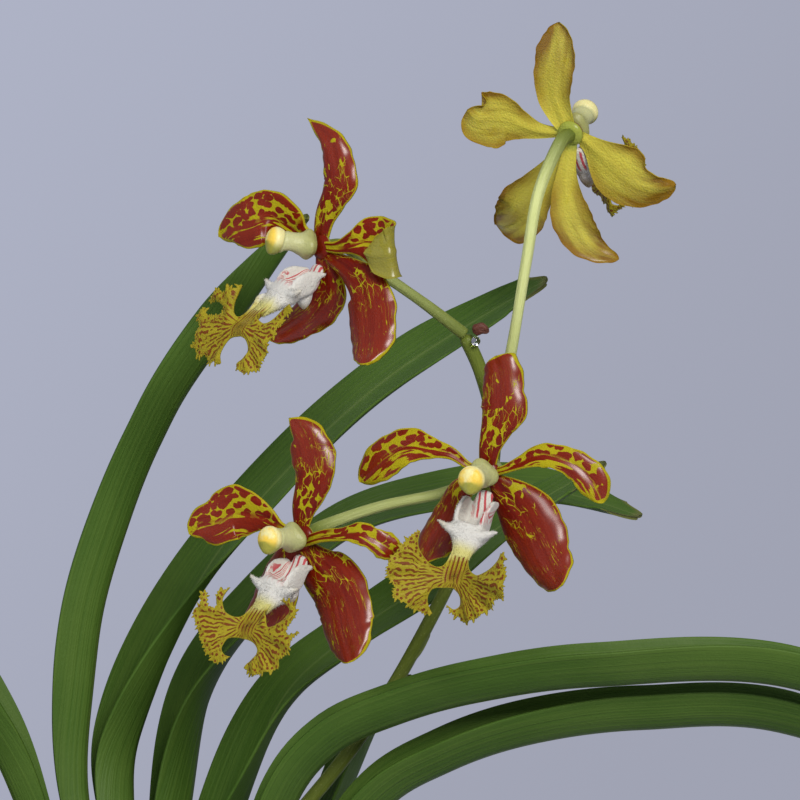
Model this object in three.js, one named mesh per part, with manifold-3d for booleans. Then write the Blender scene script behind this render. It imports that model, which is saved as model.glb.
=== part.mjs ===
// Potted Vanda roeblingiana: a clay pot of coarse bark, a short cane with two ranks of strap
// leaves and thick roots, and one flower spike with four open flowers.
//
// Millimetres, +Z up. The origin is the centre of the pot's flat underside. The fan of leaves
// lies close to the XZ plane, and the flowers stand in front of it, on the -Y side.
import * as THREE from "three";
import { mergeVertices } from "three/addons/utils/BufferGeometryUtils.js";
import Module from "manifold-3d";

const wasm = await Module();
wasm.setup();

// Driving dimensions
const GAP = 0.3; // clearance between two pieces that touch on the real plant

const POT = {
  height: 96,
  rimRadius: 64,
  rimHeight: 21,
  rimStep: 4.5, // how far the rim band stands out of the wall
  baseRadius: 42,
  wall: 5.5,
  floor: 8,
  segments: 32,
  drainRadius: 5,
  drainCircle: 23,
  drains: 4,
};

const BARK = { top: 80, clearance: 1.2, chips: 24, chipSize: [19, 13, 8], tilt: 0.65, seed: 7 };

const CANE = { foot: 60, radii: [4.4, 4.6, 4.4, 4.0, 2.8], sheath: 19, steps: 5, sides: 8 };

const LEAF = {
  thickness: 1.4,
  steps: 15,
  halfWidth: 11, // of the blade laid flat, at its widest
  baseShare: 0.55, // the width at the joint, as a share of the widest
  tipShare: 0.5,
  tipSlant: 2.2, // how far one corner of the tip stands past the keel
};

const FLOWER = {
  tepalThickness: 0.9,
  tepalSteps: 7,
  lipThickness: 0.8,
};

const COLOURS = {
  clay: 0xb4643c,
  bark: 0x5b3b26,
  cane: 0x5d7a35,
  leaf: 0x3c6323,
  root: 0xa9ab94,
  stalk: 0x7f9a3c,
  tepal: 0x8f1d0e,
  column: 0xe8e3a4,
  lip: 0xd2c24a,
  bract: 0x4a1c12,
  drop: 0xe8eef2,
};

// The same draw every time: a small linear congruential generator.
function draws(seed) {
  let state = seed * 7919 + 17;
  return () => {
    state = (state * 1664525 + 1013904223) % 4294967296;
    return state / 4294967296;
  };
}

const vec = (x, y, z) => new THREE.Vector3(x, y, z);
const lerp = THREE.MathUtils.lerp;
const rad = THREE.MathUtils.degToRad;
const smooth = (a, b, x) => THREE.MathUtils.smoothstep(x, a, b);

// Value of an evenly spaced profile at t, straight between its points.
function along(profile, t) {
  const at = Math.min(Math.max(t, 0), 1) * (profile.length - 1);
  const i = Math.min(Math.floor(at), profile.length - 2);
  return lerp(profile[i], profile[i + 1], at - i);
}

// A smooth curve through hand-placed points.
const curveOf = (points) =>
  new THREE.CatmullRomCurve3(points.map((p) => vec(...p)), false, "catmullrom", 0.5);

// Solids and booleans

// A closed geometry as a solid, its faces turned out.
function solidOf(geometry) {
  const bare = geometry.index ? geometry.toNonIndexed() : geometry.clone();
  bare.deleteAttribute("normal");
  bare.deleteAttribute("uv");
  const merged = mergeVertices(bare, 1e-4);
  const vertProperties = merged.attributes.position.array;
  const build = (triVerts) =>
    new wasm.Manifold(new wasm.Mesh({ numProp: 3, vertProperties, triVerts }));
  const triangles = new Uint32Array(merged.index.array);
  const solid = build(triangles);
  return solid.volume() >= 0 ? solid : build(triangles.reverse());
}

// A solid from its corner points and the point numbers of its triangles.
function solidFrom(points, index) {
  const geometry = new THREE.BufferGeometry().setFromPoints(points);
  geometry.setIndex(index);
  return solidOf(geometry);
}

function geometryOf(solid) {
  const mesh = solid.getMesh();
  const positions = new Float32Array(mesh.numVert * 3);
  for (let i = 0; i < mesh.numVert; i++)
    positions.set(mesh.vertProperties.subarray(i * mesh.numProp, i * mesh.numProp + 3), i * 3);
  const geometry = new THREE.BufferGeometry();
  geometry.setAttribute("position", new THREE.BufferAttribute(positions, 3));
  geometry.setIndex(new THREE.BufferAttribute(mesh.triVerts, 1));
  geometry.computeVertexNormals();
  return geometry;
}

const fuse = (solids) => solids.reduce((a, b) => a.add(b));

// The largest body of a solid, for a cut that leaves loose scraps.
const mainBody = (solid) =>
  solid.decompose().reduce((a, b) => (a.volume() > b.volume() ? a : b));

// A closed solid from rings of points, each with the same count, capped at both ends.
function loft(rings) {
  const count = rings[0].length;
  const index = [];
  for (let i = 0; i + 1 < rings.length; i++)
    for (let k = 0; k < count; k++) {
      const a = i * count + k;
      const b = i * count + ((k + 1) % count);
      index.push(a, b, b + count, a, b + count, a + count);
    }
  const middle = (ring) =>
    ring.reduce((sum, p) => sum.add(p), vec(0, 0, 0)).divideScalar(count);
  const last = (rings.length - 1) * count;
  const cap = rings.length * count;
  for (let k = 0; k < count; k++) {
    index.push((k + 1) % count, k, cap);
    index.push(last + k, last + ((k + 1) % count), cap + 1);
  }
  return solidFrom([...rings.flat(), middle(rings[0]), middle(rings.at(-1))], index);
}

// A thin blade from its front points and its back points, row by row. Both faces are split
// along the same diagonals, and the caps are split across the blade, so neither face crosses
// the other.
function bladeLoft(fronts, backs) {
  const across = fronts[0].length;
  const count = 2 * across;
  const rings = fronts.map((front, i) => [...front, ...[...backs[i]].reverse()]);
  const index = [];
  for (let i = 0; i + 1 < rings.length; i++)
    for (let k = 0; k < count; k++) {
      const a = i * count + k;
      const b = i * count + ((k + 1) % count);
      const [c, d] = [a + count, b + count];
      if (k >= across - 1) index.push(a, b, c, b, d, c);
      else index.push(a, b, d, a, d, c);
    }
  const end = (rings.length - 1) * count;
  for (let k = 0; k + 1 < across; k++) {
    const [f0, f1, b0, b1] = [k, k + 1, count - 1 - k, count - 2 - k];
    index.push(f0, b0, f1, f1, b0, b1);
    index.push(end + f0, end + f1, end + b0, end + f1, end + b1, end + b0);
  }
  return solidFrom(rings.flat(), index);
}

// A round stalk along a smooth path. Its radius is a profile from foot to tip, and grow makes
// it thicker and longer all over, for the hole that it stands in.
function stalk(points, radii, { steps = 12, sides = 8, grow = 0 } = {}) {
  const curve = curveOf(points);
  const frames = curve.computeFrenetFrames(steps, false);
  const rings = [];
  for (let i = 0; i <= steps; i++) {
    const t = i / steps;
    const centre = curve.getPointAt(t);
    if (i === 0) centre.addScaledVector(frames.tangents[0], -grow);
    if (i === steps) centre.addScaledVector(frames.tangents[steps], grow);
    const r = along(radii, t) + grow;
    rings.push(
      Array.from({ length: sides }, (_, k) => {
        const a = (2 * Math.PI * k) / sides;
        return centre
          .clone()
          .addScaledVector(frames.normals[i], r * Math.cos(a))
          .addScaledVector(frames.binormals[i], r * Math.sin(a));
      }),
    );
  }
  return loft(rings);
}

// Pot: a lathe-turned clay pot with a thick rim band and a ring of drain holes.
function pot() {
  const { height, rimRadius, rimHeight, rimStep, baseRadius, wall, floor, segments } = POT;
  const bandFoot = height - rimHeight;
  const underBand = rimRadius - rimStep;
  const profile = [
    [0, 0],
    [baseRadius - 1.5, 0],
    [baseRadius, 1.5],
    [underBand, bandFoot - 2],
    [rimRadius - 1, bandFoot],
    [rimRadius, bandFoot + 2],
    [rimRadius, height - 2],
    [rimRadius - 2, height],
    [rimRadius - wall, height],
    [rimRadius - wall - 1.5, height - 2],
    [underBand - wall, bandFoot - 4],
    [baseRadius - wall + 1, floor + 3],
    [baseRadius - wall - 2, floor],
    [0, floor],
  ].map(([r, z]) => new THREE.Vector2(r, z));
  let body = solidOf(new THREE.LatheGeometry(profile, segments).rotateX(Math.PI / 2));
  for (let k = 0; k < POT.drains; k++) {
    const a = (2 * Math.PI * (k + 0.5)) / POT.drains;
    const hole = new THREE.CylinderGeometry(POT.drainRadius, POT.drainRadius, 3 * floor, 14)
      .rotateX(Math.PI / 2)
      .translate(POT.drainCircle * Math.cos(a), POT.drainCircle * Math.sin(a), floor / 2);
    body = body.subtract(solidOf(hole));
  }
  return body;
}

// Radius of the pot's inside at a height, less the clearance that the bark keeps.
function insideRadius(z) {
  const { height, rimHeight, rimRadius, rimStep, baseRadius, wall, floor } = POT;
  const top = rimRadius - rimStep - wall;
  const foot = baseRadius - wall + 1;
  const share = (z - floor - 3) / (height - rimHeight - 4 - floor - 3);
  return lerp(foot, top, Math.min(share, 1)) - BARK.clearance;
}

// One chip: a box whose corners are each pulled in or out by a draw, lying at any angle.
function barkChip(draw) {
  const chip = new THREE.BoxGeometry(...BARK.chipSize.map((s) => s * (0.7 + 0.5 * draw())));
  const p = chip.attributes.position;
  const pulls = new Map();
  for (let k = 0; k < p.count; k++) {
    const corner = [p.getX(k), p.getY(k), p.getZ(k)].map(Math.sign).join();
    if (!pulls.has(corner)) pulls.set(corner, [draw(), draw(), draw()].map((d) => 0.72 + 0.4 * d));
    const pull = pulls.get(corner);
    p.setXYZ(k, p.getX(k) * pull[0], p.getY(k) * pull[1], p.getZ(k) * pull[2]);
  }
  chip.rotateX(2 * BARK.tilt * (draw() - 0.5));
  chip.rotateY(2 * BARK.tilt * (draw() - 0.5));
  return chip.rotateZ(draw() * Math.PI);
}

// Bark: a bed that fills the pot, with angular chips standing out of its top.
function bark(holes) {
  const shoulder = insideRadius(BARK.top - 8);
  const profile = [
    [0, POT.floor + GAP],
    [insideRadius(POT.floor + 3) - 3, POT.floor + GAP],
    [shoulder, BARK.top - 8],
    [shoulder - 4, BARK.top - 4],
    [0, BARK.top],
  ].map(([r, z]) => new THREE.Vector2(r, z));
  const bed = solidOf(new THREE.LatheGeometry(profile, 28).rotateX(Math.PI / 2));
  const draw = draws(BARK.seed);
  const reach = insideRadius(BARK.top) - 13;
  const goldenAngle = Math.PI * (3 - Math.sqrt(5));
  const chips = Array.from({ length: BARK.chips }, (_, i) => {
    const r = reach * Math.sqrt((i + 0.5) / BARK.chips);
    const a = i * goldenAngle;
    const chip = barkChip(draw);
    const height = BARK.top - 2.5 - 3.5 * (r / reach) ** 2 + 3 * draw();
    return solidOf(chip.translate(r * Math.cos(a), r * Math.sin(a), height));
  });
  return mainBody(holes.reduce((rest, hole) => rest.subtract(hole), fuse([bed, ...chips])));
}

// Leaves: each is a strap folded along its keel. The path runs from the joint on the cane to
// the tip. rank is 1 for the right-hand row and -1 for the left. open is the angle from the
// fold's middle plane to each half, at the base and past the middle, and roll turns the upper
// side towards the front.
const LEAVES = [
  {
    rank: 1,
    path: [
      [-1, 0, 168],
      [-3.8, 3, 184],
      [-3.7, 5, 200],
      [-1.4, 6, 219],
      [4.3, 7, 238],
      [11.2, 7, 255],
      [21, 8, 272],
      [44.8, 10, 302],
    ],
    width: 0.86,
    open: [24, 36],
    roll: -3,
  },
  {
    rank: 1,
    path: [
      [6.2, 0, 155.5],
      [5.4, 3, 174],
      [6, 10, 193],
      [20.6, 13, 223.5],
      [42, 14.5, 249],
      [65, 15, 269.5],
      [96, 16, 288],
    ],
    width: 1.05,
    open: [26, 78],
    roll: 21,
  },
  {
    rank: 1,
    path: [
      [11.4, 0.2, 144.3],
      [15.4, 8, 168],
      [21, 17, 199],
      [35, 23, 219],
      [53, 28, 235],
      [74, 31, 241.5],
      [95, 32, 242.5],
      [117, 32, 236.5],
    ],
    width: 1,
    open: [26, 80],
    roll: 18,
  },
  {
    rank: 1,
    path: [
      [14.6, 0, 131],
      [22.5, 5, 160],
      [37.4, 6, 197],
      [53.5, 6, 213],
      [72, 6, 225.5],
      [88, 6, 238],
      [108, 6, 249.5],
    ],
    width: 1.05,
    open: [28, 80],
    roll: 18,
  },
  {
    rank: 1,
    path: [
      [16.8, -0.5, 113.5],
      [25.8, -3.2, 136],
      [33, -10.5, 160],
      [40.5, -15, 183],
      [50, -18, 195],
      [63, -20, 201.5],
      [80, -21.5, 206.5],
      [105, -23, 210],
      [145, -22, 209.5],
      [188, -19, 191],
    ],
    width: 0.86,
    open: [40, 33],
    roll: 4,
  },
  {
    rank: 1,
    path: [
      [16.2, 0, 101.5],
      [30, -3, 129],
      [45, -6, 159],
      [59, -8, 181],
      [74, -9, 190.5],
      [92, -9.5, 196.5],
      [115, -10, 199.5],
      [145, -9, 198.5],
      [184, -6, 182],
    ],
    width: 0.9,
    open: [32, 36],
    roll: 6,
  },
  {
    rank: 1,
    path: [
      [9.4, 7.6, 96],
      [26, 13, 121],
      [40, 19, 149],
      [51, 21, 177],
      [59, 22, 194],
      [67, 22, 203],
    ],
    width: 0.9,
    open: [34, 60],
    roll: 10,
  },
  {
    rank: -1,
    path: [
      [-7.4, 0, 160],
      [-11.5, -1, 178],
      [-19.5, -2, 197],
      [-35, -2, 218],
      [-58, -1, 236],
      [-88, 0, 244],
      [-118, 1, 240],
      [-142, 2, 228],
    ],
    width: 0.95,
    open: [26, 62],
    roll: 14,
  },
  {
    rank: -1,
    path: [
      [-9.4, 0, 148],
      [-20, 4, 167],
      [-38, 9, 188],
      [-64, 13, 205],
      [-95, 16, 212],
      [-126, 17, 206],
      [-153, 17, 191],
    ],
    width: 1,
    open: [27, 58],
    roll: 8,
  },
  {
    rank: -1,
    path: [
      [-10.4, 0, 136],
      [-25, -5, 154],
      [-48, -12, 172],
      [-78, -17, 183],
      [-110, -19, 182],
      [-142, -18, 170],
      [-165, -16, 151],
    ],
    width: 1,
    open: [28, 52],
    roll: 10,
  },
  {
    rank: -1,
    path: [
      [-11, 0, 123.5],
      [-28, 6, 139],
      [-55, 15, 153],
      [-88, 22, 157],
      [-120, 26, 149],
      [-145, 28, 132],
    ],
    width: 0.96,
    open: [29, 60],
    roll: 4,
  },
  {
    rank: -1,
    path: [
      [-11, 0, 111],
      [-29, -6, 122],
      [-56, -14, 132],
      [-87, -19, 131],
      [-114, -21, 117],
      [-133, -21, 98],
    ],
    width: 0.92,
    open: [30, 64],
    roll: 6,
  },
];

// One leaf blade. At s from -1 to 1 across, each half runs out along its own side of the fold,
// and the tip is cut off slantwise with a small notch at the keel.
function leaf({ rank, path, width, open, roll }) {
  const curve = curveOf(path);
  const across = [-1, 0, 1];
  const fronts = [];
  const backs = [];
  for (let i = 0; i <= LEAF.steps; i++) {
    const t = i / LEAF.steps;
    const centre = curve.getPointAt(t);
    const tangent = curve.getTangentAt(t);
    const side = vec(0, rank, 0);
    const up = tangent.clone().cross(side).normalize();
    side.crossVectors(up, tangent);
    const turn = rad(rank * roll * smooth(0.02, 0.4, t));
    const [s1, u1] = [side.clone(), up.clone()];
    side.multiplyScalar(Math.cos(turn)).addScaledVector(u1, Math.sin(turn));
    up.multiplyScalar(Math.cos(turn)).addScaledVector(s1, -Math.sin(turn));
    const beta = rad(lerp(open[0], open[1], smooth(0.08, 0.6, t)));
    const share =
      lerp(LEAF.baseShare, 1, smooth(0, 0.3, t)) * lerp(1, LEAF.tipShare, smooth(0.8, 1, t));
    const half = LEAF.halfWidth * width * share;
    const thick = LEAF.thickness * lerp(1.2, 0.9, t);
    const front = [];
    const back = [];
    for (const s of across) {
      const bent = Math.sin(beta);
      const rise = Math.cos(beta);
      const cut = smooth(0.9, 1, t) * LEAF.tipSlant * s * rank;
      const p = centre
        .clone()
        .addScaledVector(side, s * half * bent)
        .addScaledVector(up, (Math.abs(s) - 0.5) * half * rise)
        .addScaledVector(tangent, cut);
      const out =
        s === 0
          ? up.clone().multiplyScalar(1 / Math.max(bent, 0.45))
          : side.clone().multiplyScalar(-Math.sign(s) * rise).addScaledVector(up, bent);
      const edge = Math.abs(s) === 1 ? 0.6 : 1;
      front.push(p.clone().addScaledVector(out, (thick / 2) * edge));
      back.push(p.clone().addScaledVector(out, (-thick / 2) * edge));
    }
    fronts.push(front);
    backs.push(back);
  }
  return bladeLoft(fronts, backs);
}

// Cane: a short upright stem, wrapped in the sheaths that carry the leaves. Each sheath is a
// flattened funnel that leans out to its leaf's joint.
const canePath = [
  [0, 0, CANE.foot],
  [-0.5, 0, 88],
  [0.6, 0, 116],
  [-0.6, 0, 140],
  [-1.4, 0, 160],
];

// A sheath's section, keeled on its outer side like the leaf that it carries.
const KEELED = [
  [0, -1],
  [0.9, -0.2],
  [0.8, 0.8],
  [-0.8, 0.8],
  [-0.9, -0.2],
];

function sheath(foot, joint, direction, rank) {
  const curve = new THREE.QuadraticBezierCurve3(
    foot,
    joint.clone().addScaledVector(direction, -7),
    joint,
  );
  const rings = [];
  const steps = 3;
  for (let i = 0; i <= steps; i++) {
    const t = i / steps;
    const centre = curve.getPoint(t);
    const tangent = i === steps ? direction : curve.getTangent(t);
    const side = vec(0, rank, 0);
    const up = tangent.clone().cross(side).normalize();
    side.crossVectors(up, tangent);
    const tall = lerp(4.6, 3.1, t);
    const wide = lerp(4.2, 2.6, t);
    rings.push(
      KEELED.map(([x, y]) =>
        centre
          .clone()
          .addScaledVector(side, wide * x)
          .addScaledVector(up, tall * y),
      ),
    );
  }
  return loft(rings);
}

function cane() {
  const shaft = stalk(canePath, CANE.radii, CANE);
  const sheaths = LEAVES.map(({ rank, path }) => {
    const curve = curveOf(path);
    const direction = curve.getTangentAt(0);
    const joint = curve.getPointAt(0).addScaledVector(direction, -GAP);
    const foot = vec(0, 0, Math.max(joint.z - CANE.sheath, BARK.top + 14));
    return sheath(foot, joint, direction, rank);
  });
  return fuse([shaft, ...sheaths]);
}

// Roots: thick strands from the foot of the cane. Most dive into the bark, and two reach
// over the rim and hang free.
const ROOTS = [
  { path: [[1.6, 3.3, 90.5], [3, 15, 96], [8, 28, 88], [12, 35, 70]], radius: 2.7 },
  { path: [[-2.8, 1.7, 92], [-14, 12, 95], [-26, 21, 86], [-31, 26, 69]], radius: 2.5 },
  { path: [[-2.9, -1.8, 92], [-13, -12, 96], [-27, -20, 88], [-33, -24, 70]], radius: 2.8 },
  { path: [[1, -3.3, 90], [8, -16, 93], [12, -28, 86], [14, -34, 69]], radius: 2.5 },
  { path: [[3.3, -1, 86], [12, -4, 89], [22, -7, 83], [26, -9, 68]], radius: 2.3 },
  {
    path: [
      [2.6, -2.2, 97],
      [18, -18, 106],
      [38, -36, 107],
      [54, -49, 96],
      [59, -54, 76],
      [57, -53, 56],
      [60, -55, 38],
    ],
    radius: 2.6,
  },
  {
    path: [
      [-3.3, -1, 99],
      [-22, -7, 108],
      [-48, -13, 110],
      [-68, -17, 98],
      [-75, -19, 74],
      [-72, -17, 50],
    ],
    radius: 2.5,
  },
];

function root({ path, radius }, grow = 0) {
  const long = path.length > 4;
  return stalk(path, [radius * 0.92, radius, radius, radius * 0.95, radius * 0.7], {
    steps: long ? 14 : 7,
    sides: 7,
    grow,
  });
}

// Flower spike: the stalk from a leaf's axil, its short bract, and the four flower stalks.
const spikePath = [
  [4, -0.4, 110.5],
  [11, -0.6, 116.5],
  [17, -1.2, 124],
  [20.5, -2, 133],
  [23.4, -0.8, 147],
  [30.6, -0.8, 161.5],
  [43, -2, 176],
  [54, -3, 189.5],
  [63, -5, 203],
  [71.5, -11, 219],
  [78.5, -16, 234],
  [83.6, -19, 249],
  [83.8, -21, 260],
  [81.4, -22.5, 270],
  [78, -24, 277.8],
];

// Flowers. at is where the tepals meet, facing is the way the flower looks, and column is the
// way its column points. A tepal's points are [right, up, forward] of the centre in mm: right
// and up as seen from the front of the plant, forward out of the flower's own plane. The lip's
// fork is [right, up, forward] in the flower's own axes, and its two lobes bend forward.
const FLOWERS = [
  {
    at: [49.4, -34, 295.6],
    facing: [-0.8, -0.6, 0.02],
    column: [-0.95, -0.27, 0.14],
    stalk: [[78, -24, 277.8], [70, -26, 284], [61, -28.6, 290.4]],
    fork: [-1.3, -15.6, 19],
    lobes: [12, -16],
    spread: 0.78,
    dorsal: {
      path: [[-0.2, 1.2, 0.5], [1, 7, 0.6], [2.6, 13.6, 0], [2, 20, 0], [-2.8, 25.6, 1]],
      left: [2.2, 2.6, 3.2, 3.6, 3.8, 2.9, 0.7],
      right: [2.2, 2.6, 3.2, 4.2, 4, 3.2, 0.6],
      roll: [0, -12],
    },
    leftPetal: {
      path: [[-1.4, 1.2, 0.7], [-6.4, 5, 4], [-11.6, 5.8, 7], [-16.2, 3.6, 9], [-20, 0.6, 10]],
      left: [1, 2.2, 4.8, 5.8, 5.4, 3.6, 0.8],
      right: [1, 1.8, 3.8, 5.4, 5.6, 3.8, 0.8],
      roll: [0, 0],
    },
    rightPetal: {
      path: [[1.2, 0.5, 0.5], [6, 2, 0.6], [10.6, 4.2, -0.5], [13.6, 1.4, -4], [14, -4.6, -7]],
      left: [1.4, 2, 2.8, 4.2, 5, 4, 1],
      right: [1.4, 1.8, 2.6, 3.8, 4.6, 3.8, 1],
      roll: [10, -50],
    },
    leftSepal: {
      path: [[0.2, -2.4, 0.2], [0.6, -8.6, -0.6], [-1.4, -14, -0.8], [-6, -16.6, 0.6]],
      left: [2.4, 4, 5.2, 5.4, 4.8, 3.4, 1.2],
      right: [2.4, 4, 5.2, 5.4, 4.8, 3.4, 1.2],
      roll: [-20, -24],
    },
    rightSepal: {
      path: [[1.2, -2, 0], [6, -7.2, -0.4], [9.4, -13.4, -1], [10.6, -19.2, -0.6], [10, -25, 0]],
      left: [2, 3.8, 5.2, 5.6, 5.5, 4.8, 3.6, 1.4],
      right: [2, 3.6, 5, 5.4, 5.4, 4.8, 3.6, 1.4],
      roll: [-10, -26],
    },
  },
  {
    at: [45.6, -34, 237.4],
    facing: [-0.61, -0.79, -0.02],
    column: [-0.67, -0.74, 0.02],
    stalk: [[83.6, -19, 249], [74, -22.5, 245.4], [61, -26, 242.2]],
    fork: [-1.8, -15.4, 16],
    lobes: [24, 2],
    spread: 0.84,
    dorsal: {
      path: [[0, 1.2, 0.5], [0.7, 7, 0.6], [2, 13.4, 0.4], [1.4, 19, 0.4], [-3, 24.8, 1.4]],
      left: [2.2, 2.6, 3.2, 4.2, 4.4, 3.4, 0.7],
      right: [2.2, 2.7, 3.6, 4.6, 4.6, 3.4, 0.7],
      roll: [0, -10],
    },
    leftPetal: {
      path: [[-1.4, 1, 0.6], [-7, 5, 2.6], [-12.4, 5.6, 4], [-17.4, 3.6, 5.4], [-21.8, 0.8, 6.4]],
      left: [1, 2.2, 4.6, 5.6, 5.4, 3.8, 1],
      right: [1, 2, 4, 5.8, 5.6, 3.8, 1],
      roll: [0, 0],
    },
    rightPetal: {
      path: [[1.2, 0.4, 0.5], [6.6, 1, 1.8], [12.6, 1.6, 2], [17.4, -0.4, 0], [19.6, -5, -3]],
      left: [1.2, 1.5, 2.2, 3.4, 4.2, 3.6, 1],
      right: [1.2, 1.5, 2.2, 3.4, 4.2, 3.6, 1],
      roll: [-20, -38],
    },
    leftSepal: {
      path: [[-0.6, -2, 0], [-4, -7.6, -1.4], [-6, -13, -2.4], [-6.4, -18, -3.4]],
      left: [2.4, 4.4, 5.6, 5.8, 5.2, 3.6, 1.2],
      right: [2.4, 4.4, 5.6, 5.8, 5.2, 3.6, 1.2],
      roll: [10, 10],
    },
    rightSepal: {
      path: [[1.2, -1.8, 0], [5.6, -7.2, 0], [9.2, -13.6, 0.4], [11, -19.6, 0.4], [11.6, -25, 0]],
      left: [2.4, 4.6, 6.2, 6.6, 6.5, 5.8, 4.4, 1.6],
      right: [2.4, 4.4, 5.8, 6.2, 6.2, 5.6, 4.2, 1.6],
      roll: [-6, -10],
    },
  },
  {
    at: [82.4, -36, 250.6],
    facing: [-0.33, -0.94, -0.06],
    column: [-0.34, -0.93, -0.08],
    stalk: [[83.7, -19.6, 252], [84.4, -25, 251.2]],
    fork: [-0.6, -18.8, 15],
    lobes: [30, 34],
    spread: 1,
    dorsal: {
      path: [[0, 1.2, 0.6], [0.6, 6.6, 0.8], [2.2, 12.6, 0.6], [2.6, 18, -0.6], [1.2, 23.6, -1.6]],
      left: [2.3, 2.7, 3.6, 4.2, 4.2, 4, 2],
      right: [2.3, 2.9, 4.2, 5.4, 4.6, 3.8, 1.4],
      roll: [0, -6],
    },
    leftPetal: {
      path: [[-1.4, 0.6, 0.4], [-6.6, 4.4, 1.6], [-12, 6.8, 2], [-18.2, 5.6, 1.6], [-24.2, -0.4, 1]],
      left: [0.9, 1.3, 2.4, 3.8, 4.8, 4.4, 1.8],
      right: [0.9, 1.3, 2.2, 3.2, 4.4, 4.2, 1.6],
      roll: [26, 14],
    },
    rightPetal: {
      path: [[1.6, 0.5, 0.4], [7, 2.6, 1.2], [12.8, 3.6, 1.2], [18.4, 1.4, 0.6], [23.4, -6, 0]],
      left: [0.9, 1.3, 2.2, 3.4, 4.4, 4.4, 3.4, 1.8],
      right: [0.9, 1.3, 2.2, 3.4, 4.4, 4.4, 3.4, 1.8],
      roll: [-26, -16],
    },
    leftSepal: {
      path: [[-1.8, -1.6, 0], [-6.4, -6.6, -1], [-8.8, -12.4, -1.4], [-9.4, -18, -1]],
      left: [2.2, 3.4, 4.4, 4.8, 4.4, 3.2, 1.2],
      right: [2.2, 3.4, 4.4, 4.8, 4.4, 3.2, 1.2],
      roll: [24, 20],
    },
    rightSepal: {
      path: [[2, -1.6, 0], [6.6, -6.6, -0.4], [10.6, -12.4, -0.4], [13.8, -18, 0.4], [16.4, -22.6, 1]],
      left: [2.4, 4.8, 6.4, 6.8, 6.6, 6, 4.6, 1.8],
      right: [2.4, 4.4, 5.8, 6.2, 6.2, 5.6, 4.4, 1.8],
      roll: [0, 0],
    },
  },
  {
    at: [99.6, -20, 318.4],
    facing: [0.42, 0.82, 0.38],
    column: [0.34, 0.82, 0.46],
    stalk: [[83.9, -20.6, 258], [87.2, -23, 272.6], [90.4, -25.4, 292], [92.8, -26.4, 306]],
    fork: [0, -17, 15],
    lobes: [24, 20],
    spread: 0.92,
    dorsal: {
      path: [[-0.4, 1.6, 0.6], [-2, 6.8, 0.8], [-3.4, 12, 0.6], [-2.8, 17.4, 0.6], [0.4, 22.6, 1]],
      left: [2.2, 2.6, 3.2, 3.8, 4.2, 3.4, 0.8],
      right: [2.2, 2.6, 3.2, 3.6, 4, 3.2, 0.8],
      roll: [0, 0],
    },
    leftPetal: {
      path: [[-2, 0.8, 0.6], [-8, 1.6, 1.2], [-13.6, 2.8, 1], [-18.2, 3.6, 0.6], [-21.4, 5.4, 0]],
      left: [1.2, 1.6, 3.2, 5.2, 6, 5, 1.2],
      right: [1.2, 1.6, 3.2, 5.2, 6, 5, 1.2],
      roll: [0, 0],
    },
    rightPetal: {
      path: [[2, -0.6, 0.6], [5.6, -4.2, 1], [9.8, -7.4, 1], [14.4, -9.2, 0.6], [20.4, -9.2, 0]],
      left: [1.6, 3, 5, 6, 4.8, 2.6, 0.9],
      right: [1.6, 3, 5, 6, 4.8, 2.6, 0.9],
      roll: [0, 0],
    },
    leftSepal: {
      path: [[-1.8, -1.8, 0], [-7, -6.8, -0.8], [-11.6, -12.8, -1.4], [-15, -19.6, -1]],
      left: [2.2, 4, 5, 5.4, 5, 2],
      right: [2.2, 4, 5, 5.4, 5, 2],
      roll: [0, 0],
    },
    rightSepal: {
      path: [[0.6, -2.4, 0], [-0.6, -9, -0.8], [0.8, -15.4, -1.4], [4.4, -21, -1], [9.6, -24.6, -0.4]],
      left: [2, 3.4, 4.2, 4.4, 3.8, 2.4, 0.6],
      right: [2, 3.4, 4.2, 4.4, 3.8, 2.4, 0.6],
      roll: [-16, -30],
    },
  },
];

// The flower's own axes: forward is the way it faces, and right and up are square to it.
function axesOf(facing) {
  const forward = vec(...facing).normalize();
  const right = vec(0, 0, 1).cross(forward).normalize();
  const up = forward.clone().cross(right);
  return { forward, right, up };
}

// A tepal: a blade whose front faces the way the flower does, slightly cupped, with a wavy
// margin. Its widths left and right of the midline are profiles from base to tip.
function tepal(flower, { path, left, right, roll }) {
  const { forward } = axesOf(flower.facing);
  const placed = path.map(([x, z, out]) => {
    const y = (out - x * forward.x - z * forward.z) / forward.y;
    return [flower.at[0] + x, flower.at[1] + y, flower.at[2] + z];
  });
  const curve = curveOf(placed);
  const across = [-1, -0.5, 0, 0.5, 1];
  const fronts = [];
  const backs = [];
  for (let i = 0; i <= FLOWER.tepalSteps; i++) {
    const t = i / FLOWER.tepalSteps;
    const centre = curve.getPoint(t);
    const tangent = curve.getTangent(t);
    const side = forward.clone().cross(tangent).normalize();
    side.applyAxisAngle(tangent, rad(lerp(roll[0], roll[1], t)));
    const out = tangent.clone().cross(side);
    const front = [];
    const back = [];
    for (const s of across) {
      const width = s < 0 ? along(right, t) : along(left, t);
      const wave = 0.35 * s * s * Math.sin(9 * t + 2 * s) * smooth(0.2, 0.5, t);
      const p = centre
        .clone()
        .addScaledVector(side, s * width)
        .addScaledVector(out, 0.1 * s * s * width + wave);
      front.push(p.clone().addScaledVector(out, FLOWER.tepalThickness / 2));
      back.push(p.clone().addScaledVector(out, -FLOWER.tepalThickness / 2));
    }
    fronts.push(front);
    backs.push(back);
  }
  return bladeLoft(fronts, backs);
}

// Tepals: three sepals and two petals, fused at a small disc where they meet.
const DISC = { radius: 2.7, depth: 1.35 };

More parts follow.
